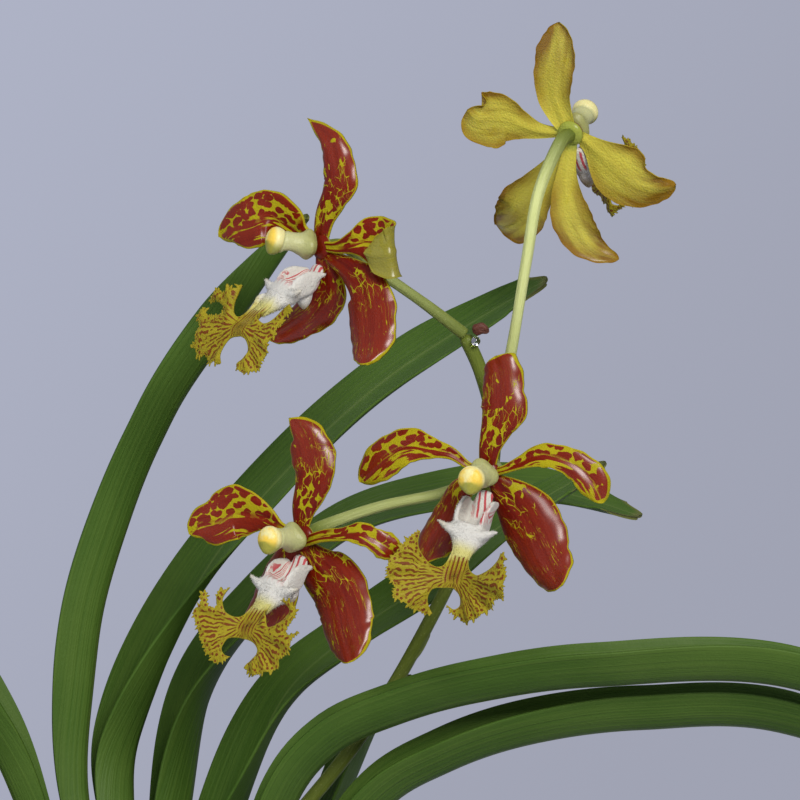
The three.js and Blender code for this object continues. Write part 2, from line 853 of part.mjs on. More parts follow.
function tepals(flower) {
  const { forward } = axesOf(flower.facing);
  const disc = new THREE.SphereGeometry(DISC.radius, 8, 6);
  disc.scale(1, 1, DISC.depth / DISC.radius);
  disc.applyQuaternion(new THREE.Quaternion().setFromUnitVectors(vec(0, 0, 1), forward));
  disc.translate(...flower.at);
  const names = ["dorsal", "leftPetal", "rightPetal", "leftSepal", "rightSepal"];
  return fuse([solidOf(disc), ...names.map((n) => tepal(flower, flower[n]))]);
}

// Column: a short thick rod with a swollen foot and a rounded cap over the pollen. grow makes
// it larger all over, for its seat in the tepals.
const COLUMN = [
  [1.65, 2.4],
  [2.6, 2.9],
  [4.2, 2.5],
  [6.2, 2.15],
  [8.2, 2.5],
  [9.6, 2.75],
  [10.8, 2.2],
  [11.5, 0.9],
];

function column(flower, grow = 0) {
  const { forward: way, right, up } = axesOf(flower.column);
  const sides = 9;
  const rings = COLUMN.map(([d, r], i) =>
    Array.from({ length: sides }, (_, k) => {
      const a = (2 * Math.PI * k) / sides;
      return vec(...flower.at)
        .addScaledVector(way, i === 0 ? d - grow : d)
        .addScaledVector(right, (r + grow) * Math.cos(a))
        .addScaledVector(up, (r + grow) * Math.sin(a));
    }),
  );
  return loft(rings);
}

// Half of the midlobe's outline, in mm right of the midline and below the fork: the isthmus
// and the inner side of the upper arm, then the fringed outer margin from the tip of the
// upper arm to that of the lower arm, then the cleft between the two lobes.
const NOTCH = [
  [1.9, -12.4],
  [1.6, -7],
  [1.8, -3.6],
  [3.2, -1.4],
  [5, -0.8],
  [7, -1.9],
  [7.9, -4.4],
];
const MARGIN = [
  [7.8, -8],
  [10.4, -6.8],
  [12.4, -4.8],
  [13.8, -2],
  [14, 1],
  [13, 4.2],
  [11, 6.8],
  [8.2, 8.4],
  [5.2, 9],
];
const CLEFT = [
  [6, 7.2],
  [6.5, 5.6],
  [5.6, 4],
  [3.8, 3.2],
  [1.5, 3.4],
];
const LOBE_CENTRE = [6.5, 0.5];
const TEETH = 11;
const THROAT = [0, -9.4, 9.2]; // where the isthmus leaves the throat
const HANG = rad(78); // the angle at which the lobes hang from the fork
const MIDRIB = 1.5; // how far from the midline the two lobes start to bend

// The outer margin with its teeth: every second point stands out from the lobe's centre by a
// drawn length.
function fringed(seed) {
  const draw = draws(seed);
  const curve = new THREE.SplineCurve(MARGIN.map((p) => new THREE.Vector2(...p)));
  return Array.from({ length: 2 * TEETH + 1 }, (_, i) => {
    const tooth = i % 2 === 1;
    const p = curve.getPoint((i + (tooth ? 0.9 * (draw() - 0.5) : 0)) / (2 * TEETH));
    const away = p.clone().sub(new THREE.Vector2(...LOBE_CENTRE)).normalize();
    return p.addScaledVector(away, tooth ? 0.5 + 1.3 * draw() : -0.35).toArray();
  });
}

// Where a point of the flat midlobe lies in the flower's own axes: the isthmus runs from the
// throat to the fork, the lobes hang from the fork, and each bends forward at its own angle.
// spread narrows both lobes.
function lipBend(x, b, lift, { fork, lobes, spread }) {
  const isthmus = 1 - b / NOTCH[0][1];
  const free = Math.max(smooth(-2.5, 2.5, b), smooth(2, 5, Math.abs(x)));
  const bend = rad(x < 0 ? lobes[0] : lobes[1]);
  const beyond = Math.max(Math.abs(x) - MIDRIB, 0) * spread;
  const across = Math.sign(x) * (Math.min(Math.abs(x), MIDRIB) + beyond * Math.cos(bend));
  const line = THROAT.map((v, k) => lerp(v, fork[k], isthmus));
  const hung = [fork[0], fork[1] - b * Math.sin(HANG), fork[2] + b * Math.cos(HANG)];
  const [r, u, n] = line.map((v, k) => lerp(v, hung[k], free));
  return [
    r + across - Math.sign(x) * lift * Math.sin(bend) * free,
    u + lift * lerp(0.7, 0.2, free),
    n + beyond * Math.sin(bend) + lift * lerp(0.7, 0.96, free),
  ];
}

// Midlobe: the flat outline, given its thickness and bent into place.
function midlobe(flower, seed) {
  const half = (side) => [...NOTCH, ...fringed(seed + side), ...CLEFT];
  const right = half(0);
  const left = half(1)
    .reverse()
    .map(([x, b]) => [-x, b]);
  const shape = new THREE.Shape([...right, ...left].map(([x, b]) => new THREE.Vector2(x, -b)));
  const slab = new THREE.ExtrudeGeometry(shape, {
    depth: FLOWER.lipThickness,
    bevelEnabled: false,
    steps: 1,
  });
  const { forward, right: across, up } = axesOf(flower.facing);
  const p = slab.attributes.position;
  for (let i = 0; i < p.count; i++) {
    const lift = p.getZ(i) - FLOWER.lipThickness / 2;
    const [r, u, n] = lipBend(p.getX(i), -p.getY(i), lift, flower);
    const at = vec(...flower.at)
      .addScaledVector(across, r)
      .addScaledVector(up, u)
      .addScaledVector(forward, n);
    p.setXYZ(i, at.x, at.y, at.z);
  }
  return solidOf(slab);
}

// The rest of the lip, each as [right, up, forward] in the flower's own axes.
const THROAT_TUBE = {
  path: [[0, -4.6, 1.9], [0, -7.3, 4.3], [0, -9.4, 7.6], [0, -10.6, 10.6]],
  radii: [1.3, 2.7, 2.6, 2],
};
const SPUR = { path: [[0, -8, 4.6], [0, -11, 4.4], [0, -13.8, 4.2]], radii: [2.4, 1.9, 0.9] };
const HORN = { path: [[0, -9.8, 8.8], [3.4, -9.6, 9], [6.2, -8.6, 8.8]], radii: [2, 1.7, 0.5] };
const SIDE_LOBE = {
  reach: [3.2, 6, 8.6], // forward
  top: -3.6,
  foot: -8.6,
  slope: 0.25, // how fast its top edge falls forward
  outer: [3.4, 2.9], // right, at the top edge and at the foot
  inner: [2.5, 1.7],
};

// Lip: the midlobe, the white throat with its two upright side lobes, the two woolly horns
// where they meet, and the blunt spur below.
function lip(flower, seed) {
  const { forward, right, up } = axesOf(flower.facing);
  const place = ([r, u, n]) =>
    vec(...flower.at)
      .addScaledVector(right, r)
      .addScaledVector(up, u)
      .addScaledVector(forward, n);
  const round = ({ path, radii }, side, sides) =>
    stalk(
      path.map(([r, u, n]) => place([side * r, u, n]).toArray()),
      radii,
      { steps: path.length, sides },
    );
  const sideLobe = (side) => {
    const { reach, top, foot, slope, outer, inner } = SIDE_LOBE;
    const rings = reach.map((n) => {
      const edge = top - slope * (n - reach[0]);
      return [
        place([side * outer[0], edge, n]),
        place([side * outer[1], foot, n]),
        place([side * inner[1], foot, n]),
        place([side * inner[0], edge, n]),
      ];
    });
    return loft(rings);
  };
  return fuse([
    round(THROAT_TUBE, 1, 7),
    round(SPUR, 1, 7),
    midlobe(flower, seed),
    ...[-1, 1].flatMap((side) => [round(HORN, side, 6), sideLobe(side)]),
  ]);
}

// The spike's main stalk. grow makes it larger all over, for its way out through the cane.
function spikeStalk(grow = 0) {
  return stalk(spikePath, [1.6, 1.6, 1.5, 1.5, 1.4, 1.3, 1.5], { steps: 19, sides: 7, grow });
}

// Spike: the main stalk with a small bract, and a stalk to the back of each flower.
function spike() {
  const flowerStalks = FLOWERS.map((flower) => {
    const { forward } = axesOf(flower.facing);
    const behind = (d) => vec(...flower.at).addScaledVector(forward, -d).toArray();
    const path = [...flower.stalk, behind(6), behind(DISC.depth + GAP + 0.1)];
    return stalk(path, [1.35, 1.15, 1.15, 1.35], { steps: 7, sides: 7 });
  });
  const bractPath = [[65.6, -7.2, 208.4], [68.4, -8.2, 211.6], [71.2, -8.8, 215.6]];
  const bract = stalk(bractPath, [0.9, 1, 0.35], { steps: 3, sides: 6 });
  return fuse([spikeStalk(), ...flowerStalks, bract]);
}

// A withered bract at the spike's tip.
function bractTip() {
  const path = [[79.6, -26.2, 278.4], [81.2, -26.4, 279], [83, -26.6, 278.6]];
  return stalk(path, [0.9, 1.1, 0.5], { steps: 4, sides: 7 });
}

// The clear drop that hangs under the withered bract.
function nectarDrop() {
  return solidOf(new THREE.SphereGeometry(0.95, 8, 6).translate(80.3, -26.3, 276.5));
}

// Assembly
const plant = new THREE.Group();

function add(name, solid, colour, roughness = 0.6) {
  const material = new THREE.MeshStandardMaterial({ color: colour, roughness, metalness: 0 });
  const mesh = new THREE.Mesh(geometryOf(solid), material);
  mesh.name = name;
  plant.add(mesh);
}

const caneHoles = [spikeStalk(GAP), ...ROOTS.map((r) => root(r, GAP))];
const caneSolid = mainBody(caneHoles.reduce((rest, hole) => rest.subtract(hole), cane()));
const barkHoles = [
  stalk(canePath, CANE.radii, { ...CANE, grow: GAP + 0.1 }),
  ...ROOTS.map((r) => root(r, GAP + 0.2)),
];

add("pot", pot(), COLOURS.clay, 0.9);
add("bark", bark(barkHoles), COLOURS.bark, 0.95);
add("cane", caneSolid, COLOURS.cane);
ROOTS.forEach((r, i) => add(`root_${i + 1}`, root(r), COLOURS.root, 0.8));
LEAVES.forEach((l, i) => add(`leaf_${i + 1}`, leaf(l), COLOURS.leaf, 0.4));
add("spike", spike(), COLOURS.stalk);
add("spike_tip", bractTip(), COLOURS.bract);
add("nectar_drop", nectarDrop(), COLOURS.drop, 0.05);
FLOWERS.forEach((f, i) => {
  add(`flower_${i + 1}_tepals`, mainBody(tepals(f).subtract(column(f, GAP))), COLOURS.tepal, 0.35);
  add(`flower_${i + 1}_column`, column(f), COLOURS.column, 0.4);
  add(`flower_${i + 1}_lip`, lip(f, 10 * (i + 1)), COLOURS.lip, 0.6);
});

export default plant;
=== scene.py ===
"""Finished surfaces of a potted Vanda roeblingiana in flower.

The packed solids are the frame. Each operator builds one kind of piece as a fine surface where
its solids stand, and gives it a finish made of nodes. Lengths in the tables below are in
millimetres, in the frame of the solids: +Z up, the origin under the middle of the pot.
"""
import math
from collections import namedtuple

import bpy
import numpy as np
from bpy.props import FloatProperty, FloatVectorProperty, IntProperty, PointerProperty
from bpy.types import Operator, Panel, PropertyGroup
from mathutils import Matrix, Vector


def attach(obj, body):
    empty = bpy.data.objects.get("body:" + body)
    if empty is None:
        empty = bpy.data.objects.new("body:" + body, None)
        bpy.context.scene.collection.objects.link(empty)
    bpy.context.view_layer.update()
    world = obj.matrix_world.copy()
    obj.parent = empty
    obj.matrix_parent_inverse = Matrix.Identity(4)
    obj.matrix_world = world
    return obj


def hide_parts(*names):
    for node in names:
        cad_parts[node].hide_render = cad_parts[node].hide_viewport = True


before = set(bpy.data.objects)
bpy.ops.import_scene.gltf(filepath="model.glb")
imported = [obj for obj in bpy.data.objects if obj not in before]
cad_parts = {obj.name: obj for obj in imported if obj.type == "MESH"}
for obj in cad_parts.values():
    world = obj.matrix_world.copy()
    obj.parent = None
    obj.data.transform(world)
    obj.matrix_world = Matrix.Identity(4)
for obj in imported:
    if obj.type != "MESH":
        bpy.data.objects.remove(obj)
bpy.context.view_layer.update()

bl_info = {
    "name": "Potted Vanda roeblingiana",
    "version": (1, 0, 0),
    "blender": (4, 5, 0),
    "location": "View3D > Sidebar > Orchid",
    "description": "Builds the finished surfaces of a potted orchid in flower",
    "category": "Object",
}

MM = 0.001

# Places and shapes of the pieces

# Each leaf: rank (1 right, -1 left), path from its joint, width, fold angles, roll.
LEAVES = (
    (1, ((-1, 0, 168), (-3.8, 3, 184), (-3.7, 5, 200), (-1.4, 6, 219), (4.3, 7, 238),
         (11.2, 7, 255), (21, 8, 272), (44.8, 10, 302)), 0.86, (24, 36), -3),
    (1, ((6.2, 0, 155.5), (5.4, 3, 174), (6, 10, 193), (20.6, 13, 223.5), (42, 14.5, 249),
         (65, 15, 269.5), (96, 16, 288)), 1.05, (26, 78), 21),
    (1, ((11.4, 0.2, 144.3), (15.4, 8, 168), (21, 17, 199), (35, 23, 219), (53, 28, 235),
         (74, 31, 241.5), (95, 32, 242.5), (117, 32, 236.5)), 1, (26, 80), 18),
    (1, ((14.6, 0, 131), (22.5, 5, 160), (37.4, 6, 197), (53.5, 6, 213), (72, 6, 225.5),
         (88, 6, 238), (108, 6, 249.5)), 1.05, (28, 80), 18),
    (1, ((16.8, -0.5, 113.5), (25.8, -3.2, 136), (33, -10.5, 160), (40.5, -15, 183),
         (50, -18, 195), (63, -20, 201.5), (80, -21.5, 206.5), (105, -23, 210),
         (145, -22, 209.5), (188, -19, 191)), 0.86, (40, 33), 4),
    (1, ((16.2, 0, 101.5), (30, -3, 129), (45, -6, 159), (59, -8, 181), (74, -9, 190.5),
         (92, -9.5, 196.5), (115, -10, 199.5), (145, -9, 198.5), (184, -6, 182)),
     0.9, (32, 36), 6),
    (1, ((9.4, 7.6, 96), (26, 13, 121), (40, 19, 149), (51, 21, 177), (59, 22, 194),
         (67, 22, 203)), 0.9, (34, 60), 10),
    (-1, ((-7.4, 0, 160), (-11.5, -1, 178), (-19.5, -2, 197), (-35, -2, 218), (-58, -1, 236),
          (-88, 0, 244), (-118, 1, 240), (-142, 2, 228)), 0.95, (26, 62), 14),
    (-1, ((-9.4, 0, 148), (-20, 4, 167), (-38, 9, 188), (-64, 13, 205), (-95, 16, 212),
          (-126, 17, 206), (-153, 17, 191)), 1, (27, 58), 8),
    (-1, ((-10.4, 0, 136), (-25, -5, 154), (-48, -12, 172), (-78, -17, 183),
          (-110, -19, 182), (-142, -18, 170), (-165, -16, 151)), 1, (28, 52), 10),
    (-1, ((-11, 0, 123.5), (-28, 6, 139), (-55, 15, 153), (-88, 22, 157), (-120, 26, 149),
          (-145, 28, 132)), 0.96, (29, 60), 4),
    (-1, ((-11, 0, 111), (-29, -6, 122), (-56, -14, 132), (-87, -19, 131),
          (-114, -21, 117), (-133, -21, 98)), 0.92, (30, 64), 6),
)

CANE_PATH = ((0, 0, 60), (-0.5, 0, 88), (0.6, 0, 116), (-0.6, 0, 140), (-1.4, 0, 160))
CANE_RADII = (4.4, 4.6, 4.4, 4.0, 2.8)

# Each root: its path from the cane, and its radius.
ROOTS = (
    (((1.6, 3.3, 90.5), (3, 15, 96), (8, 28, 88), (12, 35, 70)), 2.7),
    (((-2.8, 1.7, 92), (-14, 12, 95), (-26, 21, 86), (-31, 26, 69)), 2.5),
    (((-2.9, -1.8, 92), (-13, -12, 96), (-27, -20, 88), (-33, -24, 70)), 2.8),
    (((1, -3.3, 90), (8, -16, 93), (12, -28, 86), (14, -34, 69)), 2.5),
    (((3.3, -1, 86), (12, -4, 89), (22, -7, 83), (26, -9, 68)), 2.3),
    (((2.6, -2.2, 97), (18, -18, 106), (38, -36, 107), (54, -49, 96), (59, -54, 76),
      (57, -53, 56), (60, -55, 38)), 2.6),
    (((-3.3, -1, 99), (-22, -7, 108), (-48, -13, 110), (-68, -17, 98), (-75, -19, 74),
      (-72, -17, 50)), 2.5),
)

SPIKE_PATH = (
    (4, -0.4, 110.5), (11, -0.6, 116.5), (17, -1.2, 124), (20.5, -2, 133), (23.4, -0.8, 147),
    (30.6, -0.8, 161.5), (43, -2, 176), (54, -3, 189.5), (63, -5, 203), (71.5, -11, 219),
    (78.5, -16, 234), (83.6, -19, 249), (83.8, -21, 260), (81.4, -22.5, 270), (78, -24, 277.8),
)
SPIKE_RADII = (1.6, 1.6, 1.5, 1.5, 1.4, 1.3, 1.5)
BRACT_PATH = ((65.6, -7.2, 208.4), (68.4, -8.2, 211.6), (71.2, -8.8, 215.6))
TIP_PATH = ((79.6, -26.2, 278.4), (81.2, -26.4, 279), (83, -26.6, 278.6))
STALK_RADII = (1.3, 1.2, 1.08, 1.1, 1.2, 1.5)
DROP, DROP_RADII = (80.3, -26.3, 276.5), (0.93, 0.93, 0.98)

# Each blade of a flower: its stations from base to tip and its roll at base and tip in degrees.
# A station is (right, up, forward, half width): right and up from the flower's middle as the
# photograph shows them, forward along the way that the flower faces.
FLOWERS = (
    dict(
        at=(49.4, -34, 295.6), facing=(-0.8, -0.6, 0.02), column=(-0.95, -0.27, 0.14),
        stalk=((78, -24, 277.8), (70, -26, 284), (61, -28.6, 290.4)), pale=0.25, rise=0,
        fork=(-1.0, -16.4, 19), lobes=(12, -16), spread=0.78, shift=(0, 1.2),
        dorsal=(((-0.6, 0.9, 0.4, 1.7), (0.2, 5.8, 0.6, 2.4), (2.0, 9.8, 0.4, 3.1),
                 (3.2, 13.3, 0.0, 4.0), (2.7, 17.8, -0.1, 3.2), (1.3, 21.7, 0.3, 2.4),
                 (-3.0, 25.7, 1.0, 0.3)), (16, 26)),
        left_petal=(((-1.4, 0.8, 0.4, 1.2), (-4.0, 2.4, 1.4, 2.2), (-6.2, 3.9, 2.9, 4.4),
                     (-9.4, 5.7, 5.1, 5.3), (-12.1, 5.8, 7.0, 5.6), (-14.9, 4.9, 8.4, 5.5),
                     (-18.2, 4.0, 9.4, 3.9), (-21.0, 1.8, 10.0, 1.0)), (0, 0)),
        right_petal=(((0.4, 0.1, 0.5, 1.0), (3.2, 0.0, 0.3, 1.3), (6.2, 0.9, -0.3, 2.4),
                      (9.2, 1.4, -2.0, 4.6), (12.2, 0.9, -3.4, 5.3), (14.2, -0.4, -3.6, 5.3),
                      (13.6, -1.2, -2.0, 4.9), (11.0, -1.4, -0.5, 3.6), (8.6, -1.0, 0.7, 0.8)),
                     (0, 0)),
        left_sepal=(((-0.1, -1.2, 0.2, 1.6), (0.6, -5.3, -0.2, 3.0), (0.5, -8.9, -0.6, 4.4),
                     (-1.0, -12.1, -0.8, 4.4), (-3.7, -14.7, -0.8, 3.6), (-6.7, -16.8, -0.2, 2.6),
                     (-8.9, -17.8, 0.6, 1.0)), (-20, -24)),
        right_sepal=(((0.4, -1.3, 0.0, 1.1), (4.8, -4.1, -0.3, 2.5), (8.2, -7.7, -0.6, 4.6),
                      (9.4, -12.0, -1.0, 5.7), (10.2, -16.9, -0.8, 5.5), (10.6, -20.9, -0.4, 4.3),
                      (10.8, -23.8, 0.0, 1.4)), (-10, -26)),
    ),
    dict(
        at=(45.6, -34, 237.4), facing=(-0.61, -0.79, -0.02), column=(-0.67, -0.74, 0.02),
        stalk=((83.6, -19, 249), (74, -22.5, 245.6), (61, -26, 243)), pale=0.45, rise=1.7,
        fork=(-1.8, -17.0, 16), lobes=(24, 2), spread=0.84, shift=(0, 0.8),
        dorsal=(((-0.6, 0.9, 0.4, 1.3), (-0.2, 5.7, 0.6, 2.6), (1.1, 9.7, 0.5, 3.6),
                 (1.8, 13.9, 0.4, 4.6), (1.2, 17.7, 0.3, 4.6), (0.1, 21.1, 0.7, 3.3),
                 (-2.9, 24.0, 1.4, 0.7)), (12, 16)),
        left_petal=(((-1.4, 0.7, 0.4, 0.9), (-4.5, 1.9, 0.8, 1.0), (-7.5, 3.6, 2.0, 2.6),
                     (-11.0, 4.5, 3.1, 4.7), (-14.5, 4.5, 4.0, 5.6), (-17.8, 2.6, 5.0, 4.9),
                     (-21.1, 1.7, 5.8, 3.5), (-23.4, -0.2, 6.4, 0.9)), (0, 0)),
        right_petal=(((0.1, -0.8, 0.5, 1.1), (3.7, 0.7, 1.4, 1.3), (7.6, 1.4, 2.0, 1.5),
                      (11.3, 1.9, 2.0, 2.3), (14.4, 0.6, 0.8, 2.3), (17.0, -0.9, -0.9, 2.8),
                      (19.2, -2.6, -3.0, 1.4)), (-20, -38)),
        left_sepal=(((-1.0, -1.4, 0.0, 2.0), (-3.3, -3.6, -0.3, 3.4), (-4.5, -6.8, -0.7, 4.8),
                     (-5.8, -10.4, -1.4, 5.6), (-7.1, -13.8, -1.9, 5.6), (-8.2, -16.6, -2.4, 5.0),
                     (-8.9, -18.6, -2.9, 3.6), (-9.1, -19.8, -3.4, 1.0)), (10, 10)),
        right_sepal=(((-0.1, -1.6, 0.0, 1.8), (2.4, -5.9, 0.0, 5.0), (5.5, -9.0, 0.1, 6.3),
                      (7.7, -12.9, 0.4, 6.3), (9.0, -17.4, 0.4, 6.0), (10.5, -20.8, 0.3, 4.7),
                      (11.8, -23.5, 0.0, 1.8)), (-6, -10)),
    ),
    dict(
        at=(82.4, -36, 250.6), facing=(-0.33, -0.94, -0.06), column=(-0.34, -0.93, -0.08),
        stalk=((83.7, -19.6, 252), (84.4, -25, 251.2)), pale=0.4, rise=0,
        fork=(-2.3, -19.4, 15), lobes=(30, 34), spread=1, shift=(-1.2, -0.9),
        dorsal=(((-0.1, 0.9, 0.6, 1.7), (0.3, 5.0, 0.8, 2.3), (1.5, 9.0, 0.8, 3.4),
                 (2.7, 12.5, 0.6, 4.9), (2.7, 16.5, -0.2, 4.4), (2.4, 20.3, -0.9, 4.2),
                 (1.5, 23.3, -1.6, 3.8)), (0, -6)),
        left_petal=(((-1.5, 0.4, 0.3, 0.8), (-4.0, 1.5, 0.5, 0.8), (-7.2, 3.8, 1.3, 1.3),
                     (-11.2, 4.8, 1.8, 2.2), (-15.3, 5.3, 2.0, 3.7), (-19.0, 3.7, 1.8, 4.1),
                     (-22.2, 1.1, 1.4, 4.0), (-25.6, -2.5, 1.0, 1.3)), (26, 14)),
        right_petal=(((1.2, 0.2, 0.4, 0.9), (3.4, 0.8, 0.6, 0.9), (6.4, 2.2, 1.0, 1.4),
                      (10.4, 3.8, 1.3, 2.4), (14.5, 3.3, 1.2, 2.6), (18.2, 1.5, 0.8, 3.0),
                      (20.9, -1.4, 0.4, 3.4), (22.9, -5.5, 0.0, 1.4)), (-26, -16)),
        left_sepal=(((-1.2, -0.8, 0.0, 1.4), (-3.8, -2.2, -0.2, 2.2), (-5.9, -4.4, -0.5, 3.2),
                     (-7.1, -7.7, -1.0, 3.9), (-8.6, -11.2, -1.3, 4.4), (-9.9, -14.5, -1.4, 4.8),
                     (-10.4, -17.1, -1.2, 3.7), (-10.3, -18.8, -1.0, 0.9)), (24, 20)),
        right_sepal=(((0.8, -1.0, 0.0, 1.2), (4.3, -4.8, -0.3, 4.2), (7.3, -8.5, -0.5, 6.1),
                      (9.6, -12.5, -0.4, 6.3), (12.0, -17.0, 0.1, 5.4), (14.6, -20.2, 0.6, 4.2),
                      (16.4, -22.0, 1.0, 1.5)), (0, 0)),
    ),
    dict(
        at=(99.6, -20, 318.4), facing=(0.42, 0.82, 0.38), column=(0.34, 0.82, 0.46),
        stalk=((83.9, -20.6, 258), (87.2, -23, 272.6), (90.4, -25.4, 292), (92.8, -26.4, 306)),
        pale=1, rise=0, fork=(0, -17, 15), lobes=(60, 40), spread=0.62, shift=(0, 0),
        dorsal=(((-0.4, 0.9, 0.6, 1.9), (-2.0, 4.4, 0.8, 2.9), (-3.2, 8.1, 0.8, 3.7),
                 (-3.2, 12.3, 0.6, 4.2), (-2.8, 16.2, 0.6, 4.1), (-2.6, 19.8, 0.7, 2.9),
                 (-2.6, 22.2, 1.0, 0.9)), (0, 0)),
        left_petal=(((-1.4, 0.2, 0.6, 0.9), (-6.0, 0.6, 1.1, 1.7), (-9.7, 1.8, 1.2, 3.3),
                     (-12.9, 2.9, 1.0, 5.3), (-15.9, 3.0, 0.8, 6.0), (-18.6, 3.2, 0.4, 5.2),
                     (-20.8, 5.0, 0.0, 1.6)), (0, 0)),
        right_petal=(((1.4, -0.2, 0.6, 1.0), (4.5, -2.7, 0.9, 2.5), (7.8, -5.8, 1.0, 5.5),
                      (11.0, -8.4, 1.0, 6.8), (14.4, -10.6, 0.8, 5.0), (18.1, -11.0, 0.4, 2.7),
                      (21.0, -10.5, 0.0, 1.0)), (0, 0)),
        left_sepal=(((-0.3, -1.4, 0.0, 1.2), (-3.0, -6.6, -0.4, 2.5), (-6.1, -10.8, -0.8, 3.9),
                     (-8.4, -13.8, -1.2, 5.2), (-10.3, -17.0, -1.4, 5.5), (-13.1, -19.1, -1.3, 4.3),
                     (-16.6, -20.2, -1.0, 1.4)), (0, 0)),
        right_sepal=(((0.2, -1.4, 0.0, 1.2), (-0.6, -7.2, -0.5, 1.9), (-0.6, -12.1, -1.1, 3.1),
                      (0.3, -16.6, -1.4, 4.1), (2.2, -20.7, -1.2, 4.0), (5.4, -23.9, -0.8, 2.7),
                      (9.6, -25.5, -0.4, 0.6)), (-16, -30)),
    ),
)
# The blades, with the number that tells their finish what each one is.
KINDS = {"dorsal": 0.5, "left_petal": 1.0, "right_petal": 1.0, "left_sepal": 0.0, "right_sepal": 0.0}
BLADES = tuple(KINDS)
FOLDED = (1, "right_petal", (-0.15, 0, 0.99))  # which petal folds back on itself, and the fold's line
# The kind number of the folded petal; its finish paints shade on the back of that petal.
FOLDED_KIND = 1.2
DISC_RADIUS, DISC_DEPTH = 2.7, 1.35

# Column: distance from the flower's middle and radius there.
COLUMN = (
    (1.65, 2.3), (2.6, 3.0), (3.6, 2.8), (4.6, 2.3), (6.2, 2.1), (7.8, 2.25), (8.6, 2.5),
    (9.6, 2.75), (10.6, 2.4), (11.2, 1.7), (11.6, 0.7),
)
CAP_FROM = 8.3  # where the pollen cap begins along the column

